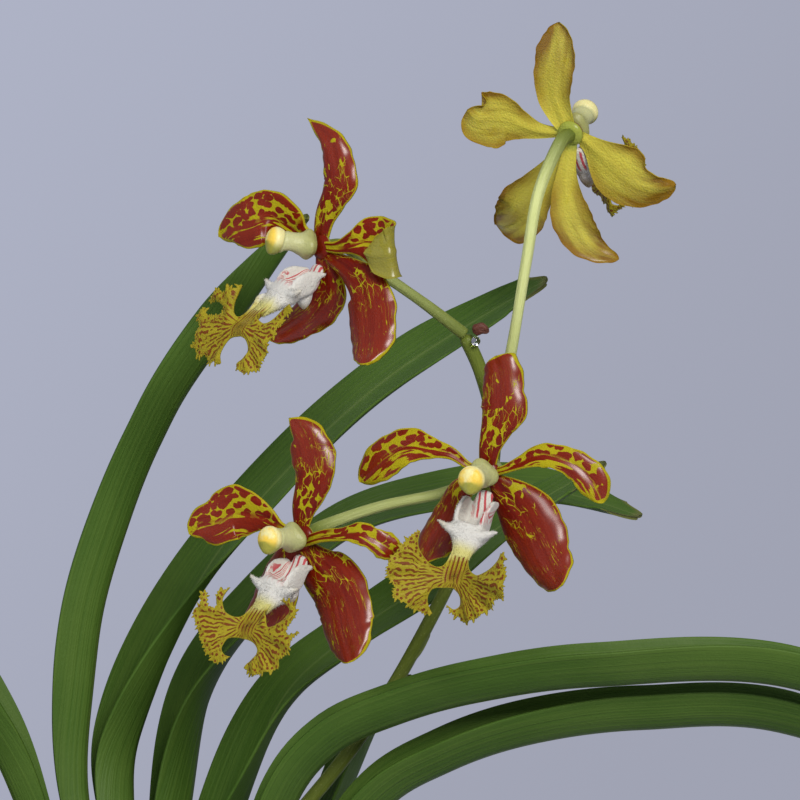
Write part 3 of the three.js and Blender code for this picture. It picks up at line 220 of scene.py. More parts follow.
# The midlobe laid flat, as (away from the midline, below the fork). Each lobe has its smooth upper
# edge from the isthmus out to its upper tip, its fringe down to its lower tip, and its smooth
# inner edge back to the middle. Left lobes come before right ones.
LIPS = {
    1: (
        (((2.9, -9.4), (2.8, -7.3), (2.7, -5.3), (2.8, -3.8), (3.2, -3.0), (3.8, -3.3), (4.1, -4.1),
          (4.2, -5.8), (4.2, -7.7), (4.1, -9.7)),
         ((4.9, -8.2), (6.3, -8.0), (7.4, -7.1), (9.7, -7.8), (10.9, -7.0), (13.2, -5.5), (10.6, -5.7),
          (7.7, -5.0), (6.6, -3.6), (7.8, -3.1), (9.7, -2.3), (11.8, -2.4), (13.3, -3.6), (14.2, -4.2),
          (15.3, -2.7), (15.0, -1.5), (13.9, -0.1), (14.1, 1.2), (13.8, 2.5), (15.2, 4.0), (12.7, 4.5),
          (13.4, 5.5), (10.2, 5.7), (8.5, 7.1), (6.3, 6.8), (3.8, 7.1)),
         ((4.7, 6.0), (4.8, 4.9), (4.2, 3.5), (2.9, 2.2), (1.4, 1.7))),
        (((2.0, -9.6), (2.2, -7.0), (3.0, -4.6), (4.6, -2.7), (6.6, -1.5), (8.3, -1.5), (10.1, -2.5),
          (12.3, -3.9), (14.8, -5.4)),
         ((15.3, -4.2), (14.1, -3.5), (13.0, -2.7), (13.3, -1.7), (12.3, -0.7), (11.6, 0.1),
          (11.9, 0.9), (10.6, 2.0), (10.6, 3.2), (10.4, 4.6), (9.2, 5.8), (8.6, 7.2), (6.4, 8.5),
          (4.4, 8.8), (2.4, 8.2), (1.3, 7.1)),
         ((3.0, 5.9), (4.0, 4.7), (3.8, 3.3), (2.6, 2.0), (1.0, 1.5))),
    ),
    2: (
        (((2.3, -10.2), (2.0, -7.4), (2.3, -5.1), (2.7, -3.5), (3.4, -2.8), (4.5, -2.8), (5.8, -3.5),
          (6.5, -4.8), (6.6, -6.1), (6.1, -7.4), (5.1, -8.5)),
         ((6.4, -8.0), (7.8, -7.6), (8.2, -6.1), (8.2, -4.5), (9.2, -4.4), (10.4, -5.0), (11.1, -7.4),
          (12.3, -6.5), (12.2, -5.0), (14.0, -3.4), (13.2, -1.7), (12.0, 0.0), (11.0, 2.3), (9.6, 3.5),
          (9.5, 4.7), (8.0, 5.4), (7.2, 6.8), (4.8, 6.5), (3.1, 5.5)),
         ((4.6, 5.2), (5.6, 4.2), (5.2, 2.9), (4.2, 1.9), (2.2, 1.7))),
        (((2.0, -9.6), (2.2, -7.2), (2.9, -5.4), (4.2, -4.0), (5.1, -3.0), (5.4, -1.9), (6.2, -0.9),
          (8.0, -1.2), (10.0, -2.2), (11.4, -3.5), (11.7, -4.7), (10.7, -5.8), (8.9, -6.5)),
         ((11.4, -6.2), (13.4, -4.9), (13.8, -3.4), (12.9, -1.9), (12.0, -0.4), (13.0, 0.4),
          (15.8, -0.5), (14.0, 1.1), (14.3, 1.9), (13.8, 3.2), (12.4, 4.3), (10.9, 5.3), (10.2, 7.0),
          (8.3, 7.8), (5.4, 8.2), (3.9, 9.1), (2.0, 8.4), (0.4, 7.6)),
         ((1.2, 6.6), (2.6, 5.8), (3.8, 4.6), (3.8, 3.6), (2.6, 2.6), (1.0, 2.1))),
    ),
    3: (
        (((1.9, -7.9), (2.2, -5.6), (2.7, -3.6), (3.6, -2.8), (4.8, -3.1), (6.1, -4.3), (7.3, -6.2),
          (7.6, -8.0), (7.2, -10.1)),
         ((8.8, -9.4), (9.9, -8.2), (11.3, -7.1), (12.3, -5.5), (13.6, -3.4), (13.0, -0.8), (11.8, 1.1),
          (12.4, 2.9), (10.0, 4.1), (9.0, 5.3), (6.7, 6.2), (4.0, 6.8)),
         ((4.7, 5.5), (5.2, 3.9), (4.8, 2.4), (3.9, 1.7), (1.8, 1.7))),
        (((1.8, -7.0), (2.1, -4.7), (3.8, -2.3), (6.2, -1.4), (8.7, -2.2), (11.2, -3.6), (12.7, -5.1),
          (12.9, -6.5)),
         ((14.6, -5.9), (14.4, -4.2), (15.5, -2.3), (15.6, -0.3), (15.2, 1.8), (12.0, 3.0), (9.6, 5.1),
          (7.2, 6.8), (3.2, 8.3), (0.9, 7.2), (-0.6, 6.3), (-1.4, 5.0)),
         ((-0.9, 5.3), (0.2, 5.9), (1.4, 5.3), (1.6, 4.1), (1.1, 2.8), (0.0, 1.8))),
    ),
}
ISTHMUS = (1.9, -12.4)  # where each lobe's upper edge begins, inside the throat
THROAT = (0, -9.4, 9.2)  # where the isthmus leaves the throat: right, up, forward
HANG = math.radians(78)
MIDRIB = 1.5

# The rest of the lip: (right, up, forward) in the flower's own axes.
GUTTER = (((0, -3.4, 0.6), (0, -6.6, 1.6), (0, -9.2, 3.4), (0, -10.4, 6.6), (0, -10.6, 9.6)),
          (0.7, 0.9, 1.1, 1.2, 1.0))
GUTTER_SPREAD = 2.3  # how many times wider than deep the gutter is
SPUR = (((0, -8.6, 4.4), (0, -11, 4.4), (0, -13.8, 4.2)), (2.2, 1.8, 0.9))
HORNS = (((-6.4, -8.7, 9.3), (-3.4, -10.0, 9.7), (0, -10.9, 9.3), (3.4, -10.0, 9.7), (6.4, -8.7, 9.3)),
         (0.2, 1.05, 1.75, 1.05, 0.2))
SIDE_LOBE_FOOT, SIDE_LOBE_TOP, SIDE_LOBE_REACH = (-6.4, -10.2), -4.2, (1.2, 8.8)
# The funnel under the horns: share of the way to the fork, half width and half depth.
FUNNEL = ((-0.12, 2.6, 1.8), (0.03, 4.4, 2.1), (0.14, 3.5, 2.0), (0.27, 2.6, 1.6), (0.42, 2.1, 1.2),
          (0.6, 1.8, 0.8))
SKIN_VOXEL, SKIN_PASSES = 0.22, 14  # how finely a throat is run together, and how softly
HAIR_FOOT, HAIR_SINK = 0.055, 0.03  # radius of a hair's foot, and how deep it stands
BARK_SEED, FRINGE_SEED, VELVET_SEED = 11, 40, 70
THROAT_TILT = 0.17  # how much lower the right side of a throat hangs, for each mm to the right

# Surfaces: points in mm, faces as arrays of point numbers, and marks that go with the points.

Surface = namedtuple("Surface", "points faces marks")


def unit(v):
    """Vectors brought to length one."""
    return v / np.linalg.norm(v, axis=-1, keepdims=True)


def mix(a, b, share):
    """The value at a share of the way from a to b."""
    return a + (b - a) * share


def smooth(low, high, x):
    """0 below low and 1 above high, with an S-shaped step between them."""
    t = np.clip((x - low) / (high - low), 0, 1)
    return t * t * (3 - 2 * t)


def spline(points, share):
    """A smooth curve through points: a cubic between each two of them, whose slope at a point
    is half the way from the point before to the point after."""
    p = np.asarray(points, float)
    p = np.vstack([2 * p[0] - p[1], p, 2 * p[-1] - p[-2]])
    at = np.clip(share, 0, 1) * (len(p) - 3)
    i = np.minimum(at.astype(int), len(p) - 4)
    f = (at - i)[:, None]
    a, b, c, d = p[i], p[i + 1], p[i + 2], p[i + 3]
    return b + 0.5 * f * (c - a + f * (2 * a - 5 * b + 4 * c - d + f * (3 * (b - c) + d - a)))


def profile(values, share):
    """A smooth row of values from base to tip, read at shares of its length."""
    return spline(np.asarray(values, float)[:, None], share)[:, 0]


def path(points, share, even=True):
    """Points of the curve through points, and its directions there. Where even, the shares
    are of its length, and otherwise of the count of its points."""
    if even:
        fine = np.linspace(0, 1, 801)
        run = np.cumsum(np.linalg.norm(np.diff(spline(points, fine), axis=0), axis=1))
        run = np.concatenate([[0], run])
        share = np.interp(share, run / run[-1], fine)
    nudge = 1e-4
    ahead = spline(points, np.minimum(share + nudge, 1))
    behind = spline(points, np.maximum(share - nudge, 0))
    return spline(points, share), unit(ahead - behind)


def length_of(points):
    """The length of the line through points."""
    return np.linalg.norm(np.diff(points, axis=0), axis=1).sum()


def circle(count):
    """Angles set evenly round a circle."""
    return np.linspace(0, 2 * np.pi, count, endpoint=False)


def stacked(*values):
    """Values of one grid as vectors, each value repeated along the sides that it lacks."""
    return np.stack(np.broadcast_arrays(*values), -1)


def grid_quads(rows, columns, wrapped):
    """Quads of a grid of points. Where wrapped, each row closes on itself."""
    i, k = np.mgrid[0:rows - 1, 0:columns if wrapped else columns - 1]
    a, b = i * columns + k, i * columns + (k + 1) % columns
    return np.stack([a, b, b + columns, a + columns], -1).reshape(-1, 4)


def outward(points, faces):
    """The faces, each turned round if the closed surface would be inside out."""
    corners = [f[:, [0, k, k + 1]] for f in faces for k in range(1, f.shape[1] - 1)]
    a, b, c = points[np.vstack(corners)].transpose(1, 0, 2)
    inside_out = np.einsum("ij,ij->", a, np.cross(b, c)) < 0
    return [f[:, ::-1] for f in faces] if inside_out else faces


def tube(rings, **marks):
    """A closed surface of rings of points, with a fan of triangles at each end."""
    rows, count, _ = rings.shape
    k = np.arange(count)
    last, head = (rows - 1) * count, rows * count
    faces = [
        grid_quads(rows, count, True),
        np.stack([(k + 1) % count, k, np.full(count, head)], -1),
        np.stack([last + k, last + (k + 1) % count, np.full(count, head + 1)], -1),
    ]

    def closed(values):
        flat = values.reshape(head, *values.shape[2:])
        return np.concatenate([flat, values[:1].mean(1), values[-1:].mean(1)])

    points = closed(rings)
    return Surface(points, outward(points, faces), {n: closed(v) for n, v in marks.items()})


def blade(front, back, **marks):
    """A thin closed blade between two grids of points. The mark named side is 1 on the front
    and -1 on the back, and the others are the same on both."""
    rows, across, _ = front.shape
    marks["side"] = np.ones((rows, across))

    def around(f, b):
        rings = np.concatenate([f, b[:, ::-1]], 1)
        return rings.reshape(rows * 2 * across, *rings.shape[2:])

    k = np.arange(across - 1)
    count = 2 * across
    near = np.stack([k, k + 1, count - 2 - k, count - 1 - k], -1)
    far = (near + (rows - 1) * count)[:, ::-1]
    points = around(front, back)
    faces = outward(points, [grid_quads(rows, count, True), near, far])
    signs = {"side": -1}
    return Surface(points, faces, {n: around(v, signs.get(n, 1) * v) for n, v in marks.items()})


def sheet(front, back, quads, **marks):
    """A thin closed sheet: two like faces, stitched together along every open edge."""
    count = len(front)
    edges = np.concatenate([quads[:, [i, (i + 1) % 4]] for i in range(4)])
    paired = np.isin(edges @ [count, 1], edges @ [1, count])
    a, b = edges[~paired].T
    points = np.vstack([front, back])
    rim = np.stack([b, a, a + count, b + count], -1)
    faces = outward(points, [quads, quads[:, ::-1] + count, rim])
    return Surface(points, faces, {n: np.concatenate([v, v]) for n, v in marks.items()})


def join(surfaces):
    """One surface of several. A mark that one of them lacks is 0 there."""
    shapes = {n: v.shape[1:] for s in surfaces for n, v in s.marks.items()}
    starts = np.cumsum([0] + [len(s.points) for s in surfaces])
    marks = {
        n: np.concatenate([s.marks.get(n, np.zeros((len(s.points), *shape))) for s in surfaces])
        for n, shape in shapes.items()
    }
    faces = [f + start for s, start in zip(surfaces, starts) for f in s.faces]
    return Surface(np.vstack([s.points for s in surfaces]), faces, marks)


def sweep(centre, tangent, radius, sides):
    """Rings round a path: each point is the centre plus the radius times the cosine and sine
    of its angle along two directions square to the path. radius has a value for each ring, or
    for each point of each ring."""
    axis = np.eye(3)[np.abs(tangent).max(0).argmin()]
    side = unit(np.cross(tangent, axis))
    up = np.cross(tangent, side)
    angle = circle(sides)[None, :, None]
    radius = radius.reshape(len(centre), -1, 1)
    return centre[:, None] + radius * (np.cos(angle) * side[:, None] + np.sin(angle) * up[:, None])


def rounded_ends(share, length, radius, start, end):
    """What a radius is multiplied by so that the ends of a rod are half spheres: the height
    of a circle over the distance from the end."""
    near = np.ones_like(share)
    for wanted, reach in ((start, share), (end, 1 - share)):
        if wanted:
            gap = np.clip(reach * length / radius, 0, 1)
            near = near * np.sqrt(np.maximum(1 - (1 - gap) ** 2, 1e-4))
    return near


def rod(points, radii, steps=60, sides=20, start=True, end=True, **marks):
    """A rod along a smooth path, its radius a profile from foot to tip, with round ends.
    Its mark named place is (share of the way, distance in mm, turn from 0 to 1)."""
    share = np.linspace(0, 1, steps)
    if start or end:
        share = mix(0.5 - 0.5 * np.cos(np.linspace(0, np.pi, steps)), share, 0.5)
    centre, tangent = path(points, share)
    length = length_of(centre)
    thick = profile(radii, share) * rounded_ends(share, length, max(radii[0], radii[-1]), start, end)
    rings = sweep(centre, tangent, thick, sides)
    turn = np.abs(np.linspace(-1, 1, sides, endpoint=False))
    place = stacked(share[:, None], share[:, None] * length, turn)
    flat = {n: np.full((steps, sides), float(v)) for n, v in marks.items()}
    return tube(rings, place=place, **flat)


def mesh_of(name, surface):
    """A Blender mesh of a surface, smooth shaded, with its marks as point attributes."""
    mesh = bpy.data.meshes.new(name)
    mesh.from_pydata((surface.points * MM).tolist(), [], sum((f.tolist() for f in surface.faces), []))
    mesh.polygons.foreach_set("use_smooth", np.ones(len(mesh.polygons), bool))
    for mark, values in surface.marks.items():
        kind, field = ("FLOAT", "value") if values.ndim == 1 else ("FLOAT_VECTOR", "vector")
        attribute = mesh.attributes.new(mark, kind, "POINT")
        attribute.data.foreach_set(field, values.astype(np.float32).ravel())
    return mesh


def linked(name, data):
    """A new object in the scene."""
    made = bpy.data.objects.new(name, data)
    bpy.context.scene.collection.objects.link(made)
    return made


def piece_of(name, mesh, material, nodes, sharp=None):
    """Makes a mesh one piece that stands for solids of the frame. sharp is the angle in
    degrees past which an edge is left crisp."""
    if sharp is not None:
        mesh.set_sharp_from_angle(angle=math.radians(sharp))
    mesh.materials.append(material)
    made = linked(name, mesh)
    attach(made, "root")
    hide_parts(*nodes)


def piece(name, surfaces, material, nodes, sharp=None):
    """Makes one piece of several closed surfaces."""
    piece_of(name, mesh_of(name, join(surfaces)), material, nodes, sharp)


def baked(made):
    """Applies a helper object's modifiers: the mesh that they give, with the object removed."""
    shown = made.evaluated_get(bpy.context.evaluated_depsgraph_get())
    mesh = bpy.data.meshes.new_from_object(shown)
    bpy.data.objects.remove(made)
    return mesh


def run_together(surfaces, voxel, passes):
    """Closed shapes as one soft skin: remeshed in voxels of that size in mm and smoothed.
    Returns the surface and the normal at each of its points."""
    helper = linked("helper", mesh_of("helper", join(surfaces)))
    remesh = helper.modifiers.new("skin", "REMESH")
    remesh.mode = "VOXEL"
    remesh.voxel_size = voxel * MM
    relax = helper.modifiers.new("relax", "SMOOTH")
    relax.iterations = passes
    mesh = baked(helper)
    points, normals = (np.empty(len(mesh.vertices) * 3, np.float32) for _ in range(2))
    mesh.vertices.foreach_get("co", points)
    mesh.vertices.foreach_get("normal", normals)
    corners = np.empty(len(mesh.loops), np.int32)
    mesh.loops.foreach_get("vertex_index", corners)
    bpy.data.meshes.remove(mesh)
    return Surface(points.reshape(-1, 3) / MM, [corners.reshape(-1, 4)], {}), normals.reshape(-1, 3)


# Nodes


class Tree:
    """Adds nodes to a node tree. Any input takes a plain value or another node's output."""

    def __init__(self, tree):
        self.nodes, self.links = tree.nodes, tree.links

    def put(self, socket, value):
        """Links an output to a socket, or sets the socket's own value."""
        if isinstance(value, bpy.types.NodeSocket):
            self.links.new(value, socket)
        else:
            socket.default_value = value

    def add(self, kind, values=(), **settings):
        """A new node. values are its inputs, by name or number."""
        node = self.nodes.new("ShaderNode" + kind)
        for key, value in settings.items():
            setattr(node, key, value)
        for key, value in dict(values).items():
            self.put(node.inputs[key], value)
        return node

    def math(self, operation, *values, clamp=False):
        """The output of one Math node."""
        return self.add("Math", enumerate(values), operation=operation, use_clamp=clamp).outputs[0]

    def times(self, a, b, clamp=False):
        """a times b."""
        return self.math("MULTIPLY", a, b, clamp=clamp)

    def plus(self, a, b, clamp=False):
        """a plus b."""
        return self.math("ADD", a, b, clamp=clamp)

    def less(self, a, b):
        """a less b."""
        return self.math("SUBTRACT", a, b)

    def over(self, a, b):
        """a divided by b."""
        return self.math("DIVIDE", a, b)

    def times_plus(self, a, b, c, clamp=False):
        """a times b, plus c."""
        return self.math("MULTIPLY_ADD", a, b, c, clamp=clamp)

    def between(self, share, a, b, clamp=False):
        """Value a where share is 0 and b where it is 1."""
        return self.plus(self.times(a, self.less(1.0, share)), self.times(b, share), clamp)

    def step(self, low, high, value, to=(0.0, 1.0)):
        """An S-shaped step from to[0] at low to to[1] at high."""
        values = {"Value": value, "From Min": low, "From Max": high, "To Min": to[0], "To Max": to[1]}
        return self.add("MapRange", values, interpolation_type="SMOOTHSTEP").outputs[0]

    def blend(self, factor, a, b):
        """Colour a where factor is 0 and b where it is 1."""
        a, b = (v if isinstance(v, bpy.types.NodeSocket) else (*v, 1.0) for v in (a, b))
        return self.add("Mix", {0: factor, 6: a, 7: b}, data_type="RGBA").outputs[2]

    def vector(self, x, y, z=0.0):
        """Three values as a vector."""
        return self.add("CombineXYZ", {0: x, 1: y, 2: z}).outputs[0]

    def parts(self, vector):
        """A vector's three values."""
        return self.add("SeparateXYZ", {0: vector}).outputs

    def mark(self, name, vector=True):
        """What a mark says, as a vector or as a value."""
        return self.add("Attribute", attribute_name=name).outputs["Vector" if vector else "Fac"]

    def place(self):
        """Where a point is on the object, in metres."""
        return self.add("TexCoord").outputs["Object"]

    def noise(self, vector, scale, detail=2.0, roughness=0.5, distortion=0.0):
        """Cloudy noise between 0 and 1."""
        values = {"Vector": vector, "Scale": scale, "Detail": detail, "Roughness": roughness,
                  "Distortion": distortion}
        return self.add("TexNoise", values).outputs[0]

    def cells(self, vector, scale, feature="F1", flat=False):
        """Distance to the middle of the nearest cell, or to its edge. Where flat, the cells
        fill a plane, and otherwise space."""
        values = {"Vector": vector, "Scale": scale}
        kind = "2D" if flat else "3D"
        return self.add("TexVoronoi", values, feature=feature, voronoi_dimensions=kind).outputs["Distance"]

    def effect(self, group, **values):
        """The outputs of a shared effect, with its inputs set by name."""
        node = self.add("Group", node_tree=group)
        for key, value in values.items():
            self.put(node.inputs[key.replace("_", " ")], value)
        return node.outputs

    def bump(self, height, distance):
        """A normal that shows a height, its full range being distance metres."""
        return self.add("Bump", {"Height": height, "Distance": distance}).outputs[0]


def effect_group(name, inputs, outputs, fill):
    """A shared effect as a node group. inputs are names with their defaults, and fill(tree,
    inputs) returns its outputs in order."""
    group = bpy.data.node_groups.get(name)
    if group:
        return group
    group = bpy.data.node_groups.new(name, "ShaderNodeTree")
    for label, default in inputs.items():
        kind = "NodeSocketVector" if isinstance(default, tuple) else "NodeSocketFloat"
        socket = group.interface.new_socket(label, in_out="INPUT", socket_type=kind)
        socket.default_value = default
    for label in outputs:
        group.interface.new_socket(label, in_out="OUTPUT", socket_type="NodeSocketFloat")
    tree = Tree(group)
    entry = group.nodes.new("NodeGroupInput")
    leave = group.nodes.new("NodeGroupOutput")
    for socket, value in zip(leave.inputs, fill(tree, entry.outputs)):
        group.links.new(value, socket)
    return group


def tissue():
    """Plant tissue seen close: small bulging cells, with a soft swell under them. Height is
    for a Bump node, and Glint is 1 on the crowns of the cells."""
    def fill(tree, inputs):
        cell = tree.cells(tree.place(), inputs["Scale"])
        swell = tree.noise(tree.place(), tree.times(inputs["Scale"], 0.22), 3.0)
        height = tree.less(tree.times(swell, 1.3), cell)
        return height, tree.step(0.5, 0.15, cell)
    return effect_group("tissue", {"Scale": 2600.0}, ("Height", "Glint"), fill)


def streaks():
    """Noise drawn out along a blade: Run and Pitch are the length and width of a streak in
    mm, and Waver is how far the streaks wander."""
    def fill(tree, inputs):
        along, across, seed = tree.parts(inputs["Place"])
        sway = tree.noise(tree.vector(tree.over(along, 9.0), across, seed), 0.7, 2.0)
        wander = tree.times_plus(sway, inputs["Waver"], across)
        drawn = tree.vector(
            tree.over(along, inputs["Run"]),
            tree.over(wander, inputs["Pitch"]),
            seed,
        )
        return (tree.noise(drawn, 1.0, 2.0, 0.55),)
    inputs = {"Place": (0.0, 0.0, 0.0), "Run": 10.0, "Pitch": 1.0, "Waver": 0.6}
    return effect_group("streaks", inputs, ("Value",), fill)


def mottle():
    """Soft patches: 0 below Low and 1 above High of a cloudy noise."""
    def fill(tree, inputs):
        cloud = tree.noise(tree.place(), inputs["Scale"], 5.0, 0.6)
        return (tree.step(inputs["Low"], inputs["High"], cloud),)
    return effect_group("mottle", {"Scale": 60.0, "Low": 0.4, "High": 0.65}, ("Factor",), fill)


def streaked(tree, run, pitch, waver):
    """Streaks along the piece that a material is on."""
    return tree.effect(streaks(), Place=tree.mark("place"), Run=run, Pitch=pitch, Waver=waver)["Value"]


def mottled(tree, scale, low, high):
    """Soft patches on the piece that a material is on."""
    return tree.effect(mottle(), Scale=scale, Low=low, High=high)["Factor"]


def finish(name, roughness, **constants):
    """A material with its tree and its one shader. constants are set on the shader itself."""
    material = bpy.data.materials.new(name)
    material.use_nodes = True
    shader = material.node_tree.nodes["Principled BSDF"]
    shader.inputs["Roughness"].default_value = roughness
    for key, value in constants.items():
        shader.inputs[key.replace("_", " ")].default_value = value
    return material, Tree(material.node_tree), shader.inputs


def clay_finish(size):
    """Fired clay: fine grit, thrown rings, pale salts where water dried and a darker damp foot."""
    material, tree, shader = finish("clay", 0.9, Specular_IOR_Level=0.25)
    at = tree.place()
    z = tree.parts(at)["Z"]
    salts = mottled(tree, 34.0, 0.52, 0.72)
    patches = mottled(tree, 16.0, 0.35, 0.7)
    low = tree.step(0.055, 0.004, z)
    dusty = tree.times(salts, tree.step(0.1, 0.02, z, to=(0.25, size.salts)), clamp=True)
    body = tree.blend(patches, size.clay, size.clay_dark)
    damp = tree.blend(tree.times(low, 0.45), body, size.clay_dark)
    speck = tree.step(0.16, 0.08, tree.cells(at, 520.0))
    flecked = tree.blend(tree.times(speck, 0.35), damp, size.clay_light)
    tree.put(shader["Base Color"], tree.blend(dusty, flecked, size.salt_colour))
    rings = tree.noise(tree.vector(0.0, 0.0, tree.times(z, 420.0)), 1.0, 2.0)
    grit = tree.noise(at, 1500.0, 4.0, 0.7)
    height = tree.plus(tree.times(rings, 1.6), grit)
    tree.put(shader["Normal"], tree.bump(height, 0.00028))
    tree.put(shader["Roughness"], tree.times_plus(patches, 0.12, 0.8))
    return material


def bark_finish(size):
    """Conifer bark: layered red-brown plates, each chip of its own tone, greyed in patches."""
    material, tree, shader = finish("bark", 0.9, Specular_IOR_Level=0.2)
    tone = tree.mark("tone", vector=False)
    x, y, z = tree.parts(tree.place())
    layers = tree.noise(tree.vector(x, y, tree.times(z, 3.0)), 330.0, 5.0, 0.65, 0.6)
    body = tree.blend(tone, size.dark, size.light)
    cracked = tree.blend(tree.step(0.5, 0.36, layers), body, (0.016, 0.009, 0.006))
    grey = mottled(tree, 150.0, 0.52, 0.75)
    tree.put(shader["Base Color"], tree.blend(tree.times(grey, 0.4), cracked, size.grey))
    tree.put(shader["Normal"], tree.bump(layers, 0.0016))
    return material


def root_finish(size):
    """Velamen: a silvery spongy coat over green, with pale net lines and a green growing tip."""
    material, tree, shader = finish("root", 0.75, Specular_IOR_Level=0.3, Sheen_Weight=0.1)
    share = tree.parts(tree.mark("place"))["X"]
    live = tree.mark("live", vector=False)
    patches = mottled(tree, 110.0, 0.4, 0.62)
    coat = tree.blend(patches, size.coat, size.coat_shade)
    net = tree.cells(tree.place(), 900.0, "DISTANCE_TO_EDGE")
    netted = tree.blend(tree.step(0.12, 0.02, net), coat, size.coat_light)
    tip = tree.times(live, tree.step(0.87, 0.93, share))
    tree.put(shader["Base Color"], tree.blend(tip, netted, size.tip))
    tree.put(shader["Normal"], tree.bump(tree.noise(tree.place(), 700.0, 4.0, 0.6), 0.0004))
    return material


def leaf_finish(size):
    """Strap leaf: parallel veins, a pale keel line, darker bands, and a satin skin."""
    material, tree, shader = finish("leaf", 0.5, Specular_IOR_Level=0.1, Coat_Roughness=0.4)
    t, s, _ = tree.parts(tree.mark("share"))
    across = tree.math("ABSOLUTE", s)
    veins = streaked(tree, 90.0, 0.55, 0.2)
    bands = streaked(tree, 60.0, 3.4, 0.8)
    patches = mottled(tree, 26.0, 0.36, 0.68)
    upper = tree.blend(bands, size.green_dark, size.green)
    mixed = tree.blend(tree.times(patches, 0.5), upper, size.green_light)
    lined = tree.blend(tree.step(0.46, 0.62, veins, to=(0.0, 0.35)), mixed, size.green_light)
    keel = tree.times(tree.step(0.075, 0.02, across), 0.7)
    ribbed = tree.blend(keel, lined, size.keel)
    base = tree.step(0.1, 0.0, t, to=(0.0, 0.55))
    tipped = tree.blend(tree.step(0.985, 1.0, t, to=(0.0, 0.35)), ribbed, size.dry)
    tree.put(shader["Base Color"], tree.blend(base, tipped, size.keel))
    fine = tree.effect(tissue(), Scale=1500.0)
    height = tree.times_plus(veins, 1.4, tree.times(fine["Height"], 0.22))
    tree.put(shader["Normal"], tree.bump(height, 0.00016))
    tree.put(shader["Roughness"], tree.times_plus(bands, 0.16, 0.4))
    tree.put(shader["Coat Weight"], tree.times(patches, 0.06))
    return material


def sheath_finish(size):
    """Leaf sheaths: green and ribbed above, drying to papery straw on the old ones below."""
    material, tree, shader = finish("sheath", 0.5, Specular_IOR_Level=0.4)
    share, _, turn = tree.parts(tree.mark("place"))
    age = tree.mark("age", vector=False)
    rows = tree.vector(tree.times(share, 2.0), tree.times(turn, 26.0), age)
    ribs = tree.noise(rows, 1.0, 2.0)
    patches = mottled(tree, 90.0, 0.4, 0.65)
    green = tree.blend(ribs, size.sheath_dark, size.sheath)
    straw = tree.blend(ribs, size.straw_dark, size.straw)
    dry = tree.plus(age, tree.times(patches, 0.3), clamp=True)
    mixed = tree.blend(tree.step(0.35, 0.8, dry), green, straw)
    joint = tree.step(0.955, 0.985, share, to=(0.0, 0.6))
    tree.put(shader["Base Color"], tree.blend(joint, mixed, size.straw_dark))
    tree.put(shader["Normal"], tree.bump(ribs, 0.0006))
    return material


def stalk_finish(size):
    """Flower stalks: olive green to whitish green, faintly lined and dotted."""
    material, tree, shader = finish("stalk", 0.45, Specular_IOR_Level=0.2)
    _, along, turn = tree.parts(tree.mark("place"))
    pale = tree.mark("pale", vector=False)
    lines = tree.noise(tree.vector(along, tree.times(turn, 40.0), pale), 0.35, 2.0)
    green = tree.blend(lines, size.green_dark, size.green)
    light = tree.blend(lines, size.pale, size.pale_light)
    body = tree.blend(pale, green, light)
    dots = tree.step(0.2, 0.1, tree.cells(tree.place(), 1300.0))
    tree.put(shader["Base Color"], tree.blend(tree.times(dots, 0.2), body, size.pale_light))
    fine = tree.effect(tissue(), Scale=2000.0)
    height = tree.times_plus(lines, 1.5, tree.times(fine["Height"], 0.3))
    tree.put(shader["Normal"], tree.bump(height, 0.0001))
    return material


